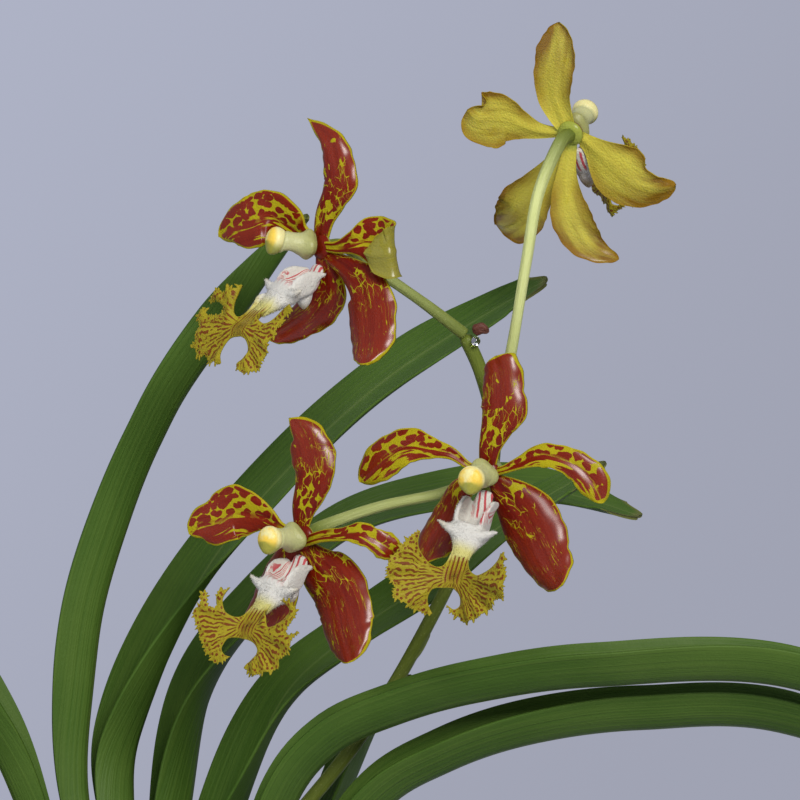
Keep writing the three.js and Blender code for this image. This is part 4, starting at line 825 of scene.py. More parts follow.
def tepal_finish(size):
    """Sepals and petals. Sepals are yellow with islands of brick red that grow from the base
    until only thin seams and fine lines part them. Petals are yellow, spotted above and striped
    below. Both have a thin yellow edge, and khaki backs with a brown blush. The folded petal's
    back gets a darker colour, as painted shade where it faces away from the light."""
    material, tree, shader = finish(
        "tepal", 0.3, Specular_IOR_Level=0.04, Coat_Roughness=0.28, Subsurface_Weight=0.05,
        Subsurface_Scale=0.001, Subsurface_Radius=(1.0, 0.4, 0.2),
    )
    along, across, seed = tree.parts(tree.mark("place"))
    t, s, kind = tree.parts(tree.mark("share"))
    edge, side = (tree.mark(name, vector=False) for name in ("edge", "side"))
    petal = tree.step(0.6, 0.9, kind)
    start = tree.plus(along, tree.times(seed, 7.3))
    sway = tree.noise(tree.vector(start, across, seed), 0.45, 2.0)
    wide = tree.times_plus(sway, 2.2, across)
    uneven = tree.noise(tree.vector(tree.over(start, 3.0), across, seed), 0.5, 3.0)

    # The sepals' islands, seams, patches and fine lines
    dorsal = tree.step(0.0, 0.5, kind)
    drawn = tree.over(start, 2.3)
    mesh_place = tree.vector(tree.times_plus(sway, 0.5, drawn), tree.over(wide, 1.25))
    gap = tree.cells(mesh_place, 1.0, flat=True)
    broken = tree.noise(tree.vector(tree.over(start, 1.8), wide, seed), 0.45, 2.0)
    lateral_island = tree.step(0.15, 0.6, t, to=(0.5, 0.95))
    dorsal_island = tree.step(0.3, 0.85, t, to=(0.5, 0.92))
    island = tree.times_plus(dorsal, tree.less(dorsal_island, lateral_island), lateral_island)
    island = tree.times_plus(tree.step(0.22, 0.08, t), 0.3, island)
    island = tree.times_plus(tree.step(0.35, 0.65, broken), -0.22, tree.plus(island, 0.2))
    bright = tree.times(tree.step(0.1, 0.18, t), tree.step(0.44, 0.26, t))
    bright = tree.times(bright, tree.step(0.95, 0.3, tree.math("ABSOLUTE", s)))
    island = tree.times_plus(tree.times(bright, dorsal), -0.17, island)
    joints = tree.step(0.0, 0.05, tree.less(gap, island))
    seams = tree.cells(mesh_place, 1.0, "DISTANCE_TO_EDGE", flat=True)
    netted = tree.times(tree.step(0.4, 0.6, broken, to=(0.0, 0.055)), tree.step(0.95, 0.7, island))
    net = tree.math("MAXIMUM", joints, tree.step(netted, tree.less(netted, 0.03), seams))
    cloud = tree.noise(tree.vector(tree.over(start, 2.8), tree.over(wide, 1.2), seed), 1.0, 1.5)
    limit = tree.times_plus(dorsal, -0.06, tree.step(0.2, 0.7, t, to=(0.7, 0.74)))
    patch = tree.step(0.0, 0.03, tree.less(cloud, limit))
    line = streaked(tree, 9.0, 0.62, 0.8)
    thin = tree.math("ABSOLUTE", tree.less(line, 0.5))
    zone = tree.times(tree.step(0.48, 0.58, broken), tree.step(0.95, 0.7, t))
    lines = tree.times(tree.step(0.016, 0.005, thin), zone)
    sepal_yellow = tree.math("MAXIMUM", patch, tree.math("MAXIMUM", net, lines), clamp=True)
    sepal_red = tree.less(1.0, sepal_yellow)

    # The petals' spots and stripes
    grain = tree.vector(tree.over(start, 1.85), tree.over(wide, 1.4))
    swollen = tree.step(0.35, 0.95, t, to=(0.45, 0.6))
    spot_gap = tree.less(swollen, tree.cells(grain, 1.0, flat=True))
    spot = tree.step(-0.03, 0.03, tree.times_plus(uneven, 0.16, tree.less(spot_gap, 0.08)))
    bands = streaked(tree, 7.0, 0.9, 0.5)
    stripe = tree.step(0.41, 0.45, bands)
    low = tree.times_plus(uneven, 0.7, tree.less(s, 0.35))
    lower = tree.step(0.1, -0.15, low)
    marked = tree.between(lower, spot, stripe, clamp=True)
    claw = tree.times(tree.step(0.3, 0.2, t), tree.step(0.2, 0.45, tree.math("ABSOLUTE", s)))
    petal_red = tree.math("MAXIMUM", tree.times(marked, tree.step(0.1, 0.2, t)), claw)

    # The yellow edge, and the reds and yellows of the front
    rim = tree.times_plus(petal, 0.16, tree.times_plus(uneven, -0.3, 0.2))
    rim = tree.plus(rim, tree.times(tree.step(0.7, 0.98, t), 0.45))
    inside = tree.step(0.0, 0.2, tree.less(edge, rim))
    red = tree.times(tree.between(petal, sepal_red, petal_red), inside, clamp=True)
    ageing = tree.times_plus(line, 0.9, tree.times_plus(uneven, 0.5, tree.times(t, 0.5)))
    pigment = tree.blend(tree.step(0.45, 1.25, ageing), size.red, size.red_brown)
    yellow = tree.blend(uneven, size.yellow, size.yellow_green)
    front = tree.blend(red, yellow, pigment)

    # The backs, the skin and its gloss
    blush = streaked(tree, 12.0, 2.2, 1.0)
    outer = tree.times(tree.step(3.4, 0.0, edge), tree.step(0.1, 0.4, t))
    stained = tree.times(tree.step(0.35, 0.7, blush), tree.step(0.2, 0.9, t, to=(0.1, 0.7)))
    stain = tree.times_plus(outer, 0.75, stained, clamp=True)
    # Painted shade: the folded petal's back takes a darker colour because it faces away from the light.
    folded = tree.step(1.0, 1.2, kind)
    back = tree.blend(folded, tree.blend(stain, size.back, size.back_blush), size.folded_back_shade)
    back = tree.blend(tree.step(0.07, 0.015, t), back, size.back_foot)
    tree.put(shader["Base Color"], tree.blend(tree.step(-0.4, 0.4, side), back, front))
    cells = tree.effect(tissue(), Scale=2300.0)
    veins = streaked(tree, 40.0, 0.8, 0.2)
    height = tree.times_plus(cells["Height"], 0.8, tree.times(veins, 1.2))
    tree.put(shader["Normal"], tree.bump(height, 0.00011))
    tree.put(shader["Roughness"], tree.times_plus(cells["Glint"], -0.1, 0.4))
    shiny = tree.times_plus(petal, -0.2, tree.step(0.3, 0.8, t, to=(0.4, 1.0)))
    tree.put(shader["Coat Weight"], tree.times_plus(red, shiny, 0.05))
    return material


def column_finish(size):
    """Column: waxy cream, greener at the foot, with a yellow-orange cap."""
    material, tree, shader = finish(
        "column", 0.42, Specular_IOR_Level=0.4, Subsurface_Weight=0.12, Subsurface_Scale=0.0015,
        Subsurface_Radius=(1.0, 0.8, 0.4),
    )
    distance, height, _ = tree.parts(tree.mark("place"))
    cloud = tree.noise(tree.place(), 420.0, 3.0)
    wax = tree.blend(tree.step(2.0, 7.0, distance), size.foot, size.wax)
    cap_rise = tree.times_plus(height, 0.35, distance)
    cap = tree.step(CAP_FROM, CAP_FROM + 0.5, cap_rise)
    face = tree.times(tree.step(9.7, 10.7, distance), tree.step(0.3, 0.55, cloud))
    blushed = tree.blend(face, size.cap, size.cap_deep)
    lip_green = tree.times(cap, tree.step(0.0, -0.7, height))
    capped = tree.blend(cap, wax, blushed)
    tree.put(shader["Base Color"], tree.blend(tree.times(lip_green, 0.85), capped, size.cap_rim))
    fine = tree.effect(tissue(), Scale=2600.0)
    tree.put(shader["Normal"], tree.bump(fine["Height"], 0.00006))
    return material


def midlobe_finish(size):
    """Midlobe: yellow, with red-brown dashes that run out from the fork, drawn close where the
    two lobes meet, and running together as stripes up the isthmus, which pales to cream."""
    material, tree, shader = finish(
        "midlobe", 0.5, Specular_IOR_Level=0.12, Sheen_Weight=0.02, Subsurface_Weight=0.06,
        Subsurface_Scale=0.001, Subsurface_Radius=(1.0, 0.8, 0.3),
    )
    x, b, seed = tree.parts(tree.mark("flat"))
    edge = tree.mark("edge", vector=False)
    across, out = tree.math("ABSOLUTE", x), tree.plus(b, 0.6)
    reach = tree.math("SQRT", tree.plus(tree.times(x, x), tree.times(out, out)))
    angle = tree.math("ARCTAN2", across, tree.times(out, -1.0))
    sway = tree.noise(tree.vector(x, b, seed), 0.32, 2.0)
    bent = tree.times_plus(sway, 0.18, angle)
    own = tree.plus(seed, tree.math("SIGN", x))

    def rays(count, run):
        """Stripes along the rays from the fork, count of them for each radian, broken up."""
        place = tree.vector(tree.times(bent, 0.18 * count), tree.over(reach, run), own)
        cloud = tree.noise(place, 1.0, 1.0)
        wave = tree.math("SINE", tree.times_plus(bent, count, tree.times(cloud, 6.0)))
        return tree.times(tree.step(0.0, 0.45, wave), tree.step(0.38, 0.45, cloud))

    far = tree.step(5.2, 6.4, reach)
    dash = tree.between(far, rays(30.0, 2.2), rays(62.0, 1.4))
    flat = tree.vector(tree.times_plus(seed, 9.0, x), b)
    spots = tree.step(0.34, 0.26, tree.cells(flat, 1.0, flat=True))
    outer = tree.times(tree.step(1.4, 0.7, edge), far)
    dashes = tree.between(outer, dash, spots)
    narrow = tree.times(tree.step(1.6, 0.2, b), tree.step(3.0, 2.0, across))
    rib = tree.math("SINE", tree.times_plus(sway, 3.0, tree.times(x, 7.0)))
    stripes = tree.times(tree.step(0.0, 0.45, rib), tree.step(-7.2, -4.8, b))
    stripes = tree.times(stripes, tree.step(0.38, 0.5, sway, to=(0.35, 1.0)))
    red = tree.between(narrow, dashes, stripes, clamp=True)
    red = tree.times(red, tree.step(0.05, 0.35, edge))
    heart = tree.times(tree.step(2.4, 0.8, reach), 0.4)
    red = tree.math("MAXIMUM", red, heart, clamp=True)
    middle = tree.step(3.6, 2.4, across)
    yellow = tree.blend(sway, size.yellow, size.yellow_deep)
    pale = tree.blend(tree.times(middle, tree.step(-3.6, -6.4, b)), yellow, size.yellow_pale)
    ground = tree.blend(tree.times(middle, tree.step(-6.4, -9.9, b)), pale, size.white)
    tree.put(shader["Base Color"], tree.blend(tree.times(red, 0.92), ground, size.dash))
    fine = tree.effect(tissue(), Scale=2300.0)
    height = tree.times_plus(dash, 0.5, tree.times(fine["Height"], 0.6))
    tree.put(shader["Normal"], tree.bump(height, 0.00014))
    return material


def throat_finish(size):
    """Throat: white velvet, cream at the horns' tips and yellow towards the isthmus, with
    crimson lines inside the side lobes and a brownish spur."""
    material, tree, shader = finish(
        "throat", 0.65, Specular_IOR_Level=0.3, Sheen_Weight=0.08, Sheen_Roughness=0.4,
        Subsurface_Weight=0.1, Subsurface_Scale=0.0015, Subsurface_Radius=(1.0, 0.85, 0.8),
    )
    r, u, n = tree.parts(tree.mark("local"))
    inside = tree.mark("inside", vector=False)
    width = tree.math("ABSOLUTE", r)
    cloud = tree.noise(tree.place(), 500.0, 3.0)
    tips = tree.step(4.2, 6.4, width)
    creamed = tree.blend(tips, size.white, size.cream)
    runs_on = tree.step(0.2, 0.5, tree.mark("fall", vector=False))
    yellowed = tree.blend(runs_on, creamed, size.yellow_pale)
    spur = tree.times(tree.step(-10.6, -12.6, u), tree.step(7.0, 5.0, n))
    spurred = tree.blend(spur, yellowed, size.spur)
    climb = tree.times(tree.step(1.8, 2.5, width), tree.times(u, 0.9))
    drawn = tree.times_plus(cloud, 2.0, tree.times(tree.plus(r, climb), 5.0))
    ray_line = tree.step(0.15, 0.6, tree.math("SINE", drawn))
    broken = tree.step(0.3, 0.42, tree.noise(tree.mark("local"), 0.55, 2.0))
    zone = tree.times(inside, tree.times(ray_line, broken))
    tree.put(shader["Base Color"], tree.blend(tree.times(zone, 0.9), spurred, size.crimson))
    fine = tree.effect(tissue(), Scale=3000.0)
    tree.put(shader["Normal"], tree.bump(fine["Height"], 0.00012))
    return material


def bract_finish(size):
    """Withered bract: dark red-brown, creased along its length."""
    material, tree, shader = finish("withered_bract", 0.5, Specular_IOR_Level=0.5)
    _, along, turn = tree.parts(tree.mark("place"))
    creases = tree.noise(tree.vector(along, tree.times(turn, 14.0), 0.0), 0.8, 3.0, 0.6)
    tree.put(shader["Base Color"], tree.blend(creases, size.bract_dark, size.bract))
    tree.put(shader["Normal"], tree.bump(creases, 0.0005))
    return material


def drop_finish():
    """A clear drop: water, with the faintest sway in its thickness."""
    material, tree, shader = finish("nectar", 0.02, Transmission_Weight=1.0, IOR=1.34)
    sway = tree.noise(tree.place(), 260.0, 1.0)
    tree.put(shader["Base Color"], tree.blend(sway, (0.93, 0.95, 0.97), (1.0, 1.0, 1.0)))
    return material


# Shapes of the pieces


def softened(corners, radius, steps=5):
    """An outline whose corners are rounded: each gives way to a quadratic curve that starts
    and ends the radius, or at most half a side, away from it."""
    p = np.asarray(corners, float)
    back, ahead = p[:-2] - p[1:-1], p[2:] - p[1:-1]
    reach = [np.minimum(radius, 0.5 * np.linalg.norm(v, axis=1))[:, None] for v in (back, ahead)]
    start, end = p[1:-1] + unit(back) * reach[0], p[1:-1] + unit(ahead) * reach[1]
    t = np.linspace(0, 1, steps)[None, :, None]
    arcs = start[:, None] * (1 - t) ** 2 + p[1:-1, None] * 2 * t * (1 - t) + end[:, None] * t ** 2
    return np.vstack([p[:1], arcs.reshape(-1, 2), p[-1:]])


def filled_in(outline, pitch):
    """An outline with points added so that none of its steps is longer than the pitch."""
    run = np.concatenate([[0], np.cumsum(np.linalg.norm(np.diff(outline, axis=0), axis=1))])
    extra = np.arange(0, run[-1], pitch)
    at = np.unique(np.round(np.concatenate([run, extra]), 3))
    return np.stack([np.interp(at, run, outline[:, k]) for k in range(2)], -1)


def turned(outline, sides):
    """A lathe-turned surface: each point of the outline, (radius, height), makes a ring."""
    angle = circle(sides)
    r, z = outline[:, :1], np.repeat(outline[:, 1:], sides, 1)
    return np.stack([r * np.cos(angle), r * np.sin(angle), z], -1)


POT = dict(height=96, rim_radius=64, rim_height=21, rim_step=4.5, base_radius=42, wall=5.5, floor=8)
POT_SIDES, POT_ROUNDING = 128, 1.6
DRAIN_RADIUS, DRAIN_CIRCLE, DRAINS = 5, 23, 4
BARK_TOP, BARK_CLEARANCE = 80, 1.2


def pot_outline():
    """The pot's section from the middle of its underside to the middle of its floor."""
    height, base, wall, floor = (POT[k] for k in ("height", "base_radius", "wall", "floor"))
    rim = POT["rim_radius"]
    band = height - POT["rim_height"]
    under = rim - POT["rim_step"]
    return (
        (0, 0), (base - 0.5, 0), (base, 1), (under, band - 1), (rim - 1, band), (rim, band + 2),
        (rim, height - 1.5), (rim - 1.5, height), (rim - wall, height),
        (rim - wall - 1.5, height - 2), (under - wall, band - 4), (base - wall + 1, floor + 3),
        (base - wall - 2, floor), (0, floor),
    )


def inner_radius(z):
    """Radius of the pot's inside at a height, less the clearance that the bark keeps."""
    foot, top = POT["base_radius"] - POT["wall"] + 1, POT["rim_radius"] - POT["rim_step"] - POT["wall"]
    low, high = POT["floor"] + 3, POT["height"] - POT["rim_height"] - 4
    return mix(foot, top, np.clip((z - low) / (high - low), 0, 1)) - BARK_CLEARANCE


def bark_bed():
    """The bed: turned to the pot's inside, its top rising and falling by a sum of sines."""
    shoulder = inner_radius(BARK_TOP - 8)
    corners = ((0, POT["floor"] + 0.3), (inner_radius(POT["floor"] + 3) - 3, POT["floor"] + 0.3),
               (shoulder, BARK_TOP - 8), (shoulder - 4, BARK_TOP - 4), (0, BARK_TOP - 2))
    rings = turned(filled_in(np.array(corners, float), 2.5)[1:-1], 72)
    x, y, z = rings[..., 0], rings[..., 1], rings[..., 2]
    swell = np.sin(0.31 * x + 0.2 * y) + np.sin(0.27 * y - 0.16 * x + 1.3)
    rings[..., 2] = z + 1.2 * swell * smooth(BARK_TOP - 8, BARK_TOP - 4, z)
    return tube(rings, tone=np.zeros(rings.shape[:2]))


def turning(angle, first, second):
    """A matrix that turns vectors by an angle, from the first axis towards the second."""
    matrix = np.eye(3)
    matrix[[first, second], [first, second]] = math.cos(angle)
    matrix[second, first] = math.sin(angle)
    matrix[first, second] = -math.sin(angle)
    return matrix


def bark_chip(rng, size):
    """One chip: an uneven polygon, drawn in at its top and bottom face, tipped and turned."""
    sides = int(rng.integers(6, 9))
    angle = circle(sides) + rng.uniform(-0.25, 0.25, sides)
    radius = rng.uniform(0.78, 1.1, sides)
    length, width, thick = size * rng.uniform(0.75, 1.15, 3) / 2
    layers = np.array([(-1, 0.86), (-0.72, 1), (0.68, 1), (1, 0.84)])
    outline = np.stack([radius * np.cos(angle) * length, radius * np.sin(angle) * width], -1)
    rings = np.empty((len(layers), sides, 3))
    rings[..., :2] = outline * layers[:, 1, None, None]
    rings[..., 2] = layers[:, :1] * thick + rng.uniform(-0.5, 0.5, (len(layers), sides))
    tip, lean, turn = rng.uniform(-0.55, 0.55), rng.uniform(-0.55, 0.55), rng.uniform(0, np.pi)
    turned_by = turning(turn, 0, 1) @ turning(lean, 2, 0) @ turning(tip, 1, 2)
    return rings @ turned_by.T, rng.uniform(0.15, 1)


def bark_chips(count, size):
    """Chips laid round by the golden angle, each at a drawn height and tilt."""
    rng = np.random.default_rng(BARK_SEED)
    reach = inner_radius(BARK_TOP) - 8.5
    golden = math.pi * (3 - math.sqrt(5))
    made = []
    for i in range(count):
        rings, tone = bark_chip(rng, size)
        r = reach * math.sqrt((i + 0.5) / count)
        z = BARK_TOP - 3 - 3 * (r / reach) ** 2 + rng.uniform(0, 4.5)
        rings += (r * math.cos(i * golden), r * math.sin(i * golden), z)
        made.append(tube(rings, tone=np.full(rings.shape[:2], tone)))
    return made


def root_rod(points, radius, seed):
    """A root: a rod whose surface swells and pinches by a few slow sines."""
    live = len(points) > 4
    made = rod(points, [radius * k for k in (0.92, 1, 1, 0.95, 0.72)], steps=90, sides=22,
               start=False, live=live)
    x, y, z = made.points.T
    swell = np.sin(0.42 * z + 0.3 * x + seed) + 0.6 * np.sin(0.9 * x - 0.7 * y + 2 * seed)
    centre = spline(points, made.marks["place"][:, 0])
    away = made.points - centre
    reach = np.linalg.norm(away, axis=1, keepdims=True)
    close = np.minimum(reach, radius) / radius
    made.points[:] += unit(away + 1e-9) * close * 0.12 * swell[:, None]
    return made


LEAF_ROWS, LEAF_COLUMNS = 120, 23
KEEL_RADIUS = 0.07
TIP_SLANT, TIP_POINT, TIP_NOTCH = 2.2, 5.5, 0.5  # how far the tip slants, draws out and is nicked


def leaf_blade(leaf, number, size):
    """A strap folded along its keel. At s from -1 to 1 across, a point lies s times the half
    width times the sine of the fold angle to the side, and the rounded absolute of s times
    its cosine upwards. The margins waver, and the tip is a slanting point, nicked at the
    keel."""
    rank, points, width, (shut, wide), roll = leaf
    share = np.linspace(0, 1, LEAF_ROWS)
    centre, tangent = path(points, share)
    side = np.tile([0.0, rank, 0.0], (LEAF_ROWS, 1))
    up = unit(np.cross(tangent, side))
    side = np.cross(up, tangent)
    turn = np.radians(rank * roll * smooth(0.02, 0.4, share))[:, None]
    side, up = side * np.cos(turn) + up * np.sin(turn), up * np.cos(turn) - side * np.sin(turn)
    s = np.sin(np.linspace(-np.pi / 2, np.pi / 2, LEAF_COLUMNS))[None, :]
    t = share[:, None]
    fold = np.radians(mix(shut, wide, smooth(0.08, 0.6, t)))
    half = size.half_width / MM * width * mix(0.55, 1, smooth(0, 0.3, t))
    half = half * mix(1, 0.45, smooth(0.8, 1, t))
    soft = np.sqrt(s ** 2 + KEEL_RADIUS ** 2)
    waver = 0.45 * np.abs(s) ** 3 * np.sin(2 * np.pi * 2.6 * t + 1.7 * number + s)
    waver = waver * smooth(0.1, 0.4, t)
    slant = smooth(0.9, 1, t) * TIP_SLANT * s * rank
    drawn_in = TIP_NOTCH * np.exp(-(s / 0.15) ** 2) + TIP_POINT * smooth(0.1, 1, np.abs(s)) ** 1.4
    drawn_in = smooth(0.93, 1, t) * drawn_in
    sign = s / soft
    out = unit(-(sign * np.cos(fold))[..., None] * side[:, None] + np.sin(fold)[..., None] * up[:, None])
    middle = centre[:, None]
    middle = middle + (s * half * np.sin(fold))[..., None] * side[:, None]
    middle = middle + ((soft - 0.5) * half * np.cos(fold))[..., None] * up[:, None]
    middle = middle + (slant - drawn_in)[..., None] * tangent[:, None]
    middle = middle + (waver - 0.05 * half * np.sin(np.pi * np.abs(s)))[..., None] * out
    thick = size.thickness / MM * mix(1.15, 0.85, t) * mix(1, 0.4, np.abs(s) ** 3)
    thick = thick * mix(1, 0.6, smooth(0.96, 1, t))
    shift = 0.5 * thick[..., None] * out
    length = length_of(centre)
    place = stacked(t * length, s * half, 3.1 * number)
    shares = stacked(t, s, float(rank))
    return blade(middle + shift, middle - shift, place=place, share=shares)


SHEATH_STEPS, SHEATH_SIDES = 40, 36
SHEATH_DROP, SHEATH_KNEE = 19, 7  # how far under its joint a sheath starts and bends
SHEATH_WIDE, SHEATH_TALL = (4.2, 2.6), (4.6, 3.1)  # half width and half height, foot and joint


def sheath(leaf):
    """A sheath: a flattened, keeled funnel from the cane to a leaf's joint, along a quadratic
    curve, with a seam where its two margins overlap."""
    rank, points = leaf[:2]
    joint, direction = (v[0] for v in path(points, np.array([0.0])))
    joint = joint - 0.3 * direction
    foot = np.array([0, 0, max(joint[2] - SHEATH_DROP, BARK_TOP + 14)])
    knee = joint - SHEATH_KNEE * direction
    t = np.linspace(0, 1, SHEATH_STEPS)[:, None]
    centre = foot * (1 - t) ** 2 + knee * 2 * t * (1 - t) + joint * t ** 2
    tangent = unit(2 * (knee - foot) * (1 - t) + 2 * (joint - knee) * t)
    side = np.tile([0.0, rank, 0.0], (SHEATH_STEPS, 1))
    up = unit(np.cross(tangent, side))
    side = np.cross(up, tangent)
    angle = circle(SHEATH_SIDES)[None, :]
    below = np.cos(angle)
    tall = np.where(below > 0, -below, 0.8 * np.abs(below) ** 0.6)
    wide = 0.9 * np.sign(np.sin(angle)) * np.abs(np.sin(angle)) ** 0.85
    seam = 1 - 0.16 * np.exp(-((angle - np.pi - 0.25) / 0.16) ** 2)
    swell = 1 + 0.05 * np.sin(np.pi * t) + 0.07 * smooth(0.9, 0.97, t) * smooth(1.0, 0.985, t)
    wide = mix(*SHEATH_WIDE, t) * wide * swell
    tall = mix(*SHEATH_TALL, t) * tall * seam * swell
    rings = centre[:, None] + (wide[..., None] * side[:, None] + tall[..., None] * up[:, None])
    turn = np.abs(angle / np.pi - 1)
    place = stacked(t, t * 20, turn)
    age = mix(0.75, 0.0, smooth(95, 140, joint[2]))
    return tube(rings, place=place, age=np.full(rings.shape[:2], age))


def flower_axes(facing):
    """Right, up and forward of a flower that looks along facing."""
    forward = unit(np.asarray(facing, float))
    right = unit(np.cross((0, 0, 1), forward))
    return right, np.cross(forward, right), forward


TEPAL_ROWS, TEPAL_COLUMNS = 56, 23


def tepal_blade(flower, name, number, size):
    """A tepal: at s from -1 to 1 across, a point lies s times the half width to the side of
    the path. Sepals bulge and their tips cup forward, the margins waver, the tip closes as
    the height of a circle does, and the edge thins. The folded petal's sides keep to the
    line of its fold while its path turns back."""
    stations, roll = flower[name]
    forward = flower_axes(flower["facing"])[2]
    x, z, out, half = np.array(stations, float).T
    placed = np.array(flower["at"], float) + np.stack(
        [x, (out - x * forward[0] - z * forward[2]) / forward[1], z], -1)
    t = np.linspace(0, 1, TEPAL_ROWS)
    t = mix(t, np.sin(t * np.pi / 2), 0.45)  # rows lie closer towards the tip
    centre, tangent = path(placed, t, even=False)
    side = unit(np.cross(forward, tangent))
    folded = (number, name) == FOLDED[:2]
    if folded:
        side = unit(np.cross(np.cross(tangent, FOLDED[2]), tangent))
    turn = np.radians(mix(roll[0], roll[1], t))[:, None]
    side = side * np.cos(turn) + np.cross(tangent, side) * np.sin(turn)
    out = np.cross(tangent, side)
    s = np.sin(np.linspace(-np.pi / 2, np.pi / 2, TEPAL_COLUMNS))[None, :]
    tip = np.sqrt(np.maximum(1 - np.clip((t - 0.94) / 0.06, 0, 1) ** 2, 0.003))
    width = (profile(half, t) * tip)[:, None]
    t = t[:, None]
    phase = 2.1 * number + 1.3 * BLADES.index(name)
    petal = name.endswith("petal")
    wave = 0.3 * s * s * np.sin(9 * t + 2 * s) + 0.2 * s ** 4 * np.sin(26 * t + 3 * s + phase)
    bulge = (0.05 if petal else -0.2) * s * s * width - 0.12 * width * s ** 6
    cup = 0 if petal or name == "dorsal" else 4.2 * t ** 3
    rise = (bulge + cup + wave * smooth(0.2, 0.5, t))[..., None]
    crease = -0.25 * np.exp(-(s * width / 0.7) ** 2)[..., None]
    middle = centre[:, None] + (s * width)[..., None] * side[:, None] + (rise + crease) * out[:, None]
    nick = 0.16 * np.sin(17 * t + phase) * np.sin(41 * t + 2 * phase) * smooth(0.25, 0.5, t)
    middle = middle + (np.sign(s) * np.abs(s) ** 3 * nick)[..., None] * side[:, None]
    thick = size.thickness / MM * mix(1, 0.35, np.abs(s) ** 3) * mix(1, 0.5, smooth(0.9, 1, t))
    shift = 0.5 * thick[..., None] * out[:, None]
    length = length_of(centre)
    upper = -1 if name == "left_petal" else 1
    seed = 5.3 * number + 1.7 * BLADES.index(name)
    place = stacked(t * length, s * width * upper, seed)
    shares = stacked(t, s * upper, FOLDED_KIND if folded else KINDS[name])
    edge = np.minimum((1 - np.abs(s)) * width, (1 - t) * length)
    return blade(middle + shift, middle - shift, place=place, share=shares, edge=edge)


def tepal_disc(flower):
    """The disc where the tepals meet: an ellipsoid, flat along the way the flower faces."""
    right, up, forward = flower_axes(flower["facing"])
    lean = np.linspace(0.03, np.pi - 0.03, 16)[:, None]
    angle = circle(32)
    ring = np.cos(angle)[:, None] * right + np.sin(angle)[:, None] * up
    rings = (np.array(flower["at"]) + DISC_DEPTH * np.cos(lean)[..., None] * forward
             + DISC_RADIUS * np.sin(lean)[..., None] * ring)
    share = np.broadcast_to((0.01, 0.1, 0.5), rings.shape)
    side = np.broadcast_to(np.cos(lean), rings.shape[:2])
    edge = np.full(rings.shape[:2], 2.0)
    return tube(rings, place=share, share=share, edge=edge, side=np.sign(side) * np.abs(side) ** 0.5)


def column_body(flower):
    """The column: its radius is a profile of the distance from the flower's middle. The cap
    is set off by a groove, its lower rim draws down to a beak, and the underside is hollow."""
    right, up, way = flower_axes(flower["column"])
    distance, radius = np.array(COLUMN).T
    share = np.linspace(0, 1, 80)
    d = profile(distance, share)
    r = profile(radius, share)
    angle = circle(48)[None, :]
    low = np.exp(-((angle - 1.5 * np.pi) / 0.55) ** 2)
    d, r = d[:, None], r[:, None]
    groove = 0.2 * np.exp(-((d + 0.35 * np.sin(angle) - CAP_FROM) / 0.28) ** 2)
    hollow = 0.5 * low * smooth(4.5, 6.5, d) * smooth(8.6, 7.4, d)
    lobes = 0.12 * np.cos(3 * angle + 0.6) * smooth(4.2, 3.0, d)
    beak = 0.6 * low * smooth(9.0, 10.4, d) * smooth(11.8, 10.6, d)
    thick = np.maximum(r * (1 + lobes) - groove - hollow + 0.6 * beak, 0.25)
    along = d + 0.35 * beak
    rings = (np.array(flower["at"]) + along[..., None] * way
             + (thick * np.cos(angle))[..., None] * right
             + (thick * np.sin(angle))[..., None] * up)
    place = stacked(d, np.sin(angle), 0.0)
    return tube(rings, place=place)


def throat_foot(flower):
    """Where the isthmus of a flower leaves its throat: right, up, forward."""
    return np.array(THROAT, float) + (*flower["shift"], 0)


def in_frame(flower, points):
    """Points given as right, up and forward of a flower, in the frame."""
    return np.array(flower["at"]) + points @ np.array(flower_axes(flower["facing"]))


def lip_bend(flower, x, b, lift):
    """Where a point of the flat midlobe lies: right, up, forward. The isthmus runs from the
    throat to the fork, the lobes hang from the fork, and each bends forward at its own angle."""
    fork, lobes, spread = np.array(flower["fork"], float), flower["lobes"], flower["spread"]
    isthmus = (1 - b / ISTHMUS[1])[..., None]
    free = np.maximum(smooth(-2.5, 2.5, b), smooth(2, 5, np.abs(x)))
    bend = np.radians(np.where(x < 0, lobes[0], lobes[1]))
    beyond = np.maximum(np.abs(x) - MIDRIB, 0) * spread
    across = np.sign(x) * (np.minimum(np.abs(x), MIDRIB) + beyond * np.cos(bend))
    line = mix(throat_foot(flower), fork, isthmus)
    hung = np.stack([np.full_like(b, fork[0]), fork[1] - b * math.sin(HANG),
                     fork[2] + b * math.cos(HANG)], -1)
    place = mix(line, hung, free[..., None])
    moved = np.stack([
        across - np.sign(x) * lift * np.sin(bend) * free,
        lift * mix(0.7, 0.2, free),
        beyond * np.sin(bend) + lift * mix(0.7, 0.96, free),
    ], -1)
    return place + moved


OUTLINE_STEP, CUT_PITCH = 0.14, 0.17


def edge_line(points, rng=None, tooth=0.0):
    """A smooth line through flat points. Where rng is given, it is pushed outwards by a row of
    drawn heights, low and high by turns, which makes uneven teeth."""
    corners = [(*p, 0.0) for p in points]
    run = length_of(points)
    share = np.linspace(0, 1, int(run / OUTLINE_STEP))
    line, way = path(corners, share)
    if rng is not None:
        knots = np.cumsum(rng.uniform(0.2, 0.5, int(run / 0.3)))
        high = tooth * rng.uniform(0.1, 1, len(knots)) ** 2
        heights = np.where(np.arange(len(knots)) % 2, high, rng.uniform(-0.35, 0, len(knots)))
        push = np.interp(share * run, knots, heights) * smooth(0, 0.02, share) * smooth(1, 0.98, share)
        line = line + push[:, None] * np.stack([way[:, 1], -way[:, 0], 0 * share], -1)
    return line[:, :2]


def lip_outline(sides, rng, tooth):
    """The closed outline of a midlobe: down its right lobe and back up its left one."""
    lines = []
    for sign, (upper, fringe, inner) in zip((-1, 1), sides):
        line = np.vstack([
            edge_line([ISTHMUS, *upper]),
            edge_line([upper[-1], *fringe], rng, tooth),
            edge_line([fringe[-1], *inner]),
        ])
        lines.append(line * (sign, 1))
    return np.vstack([lines[1], lines[0][::-1]])


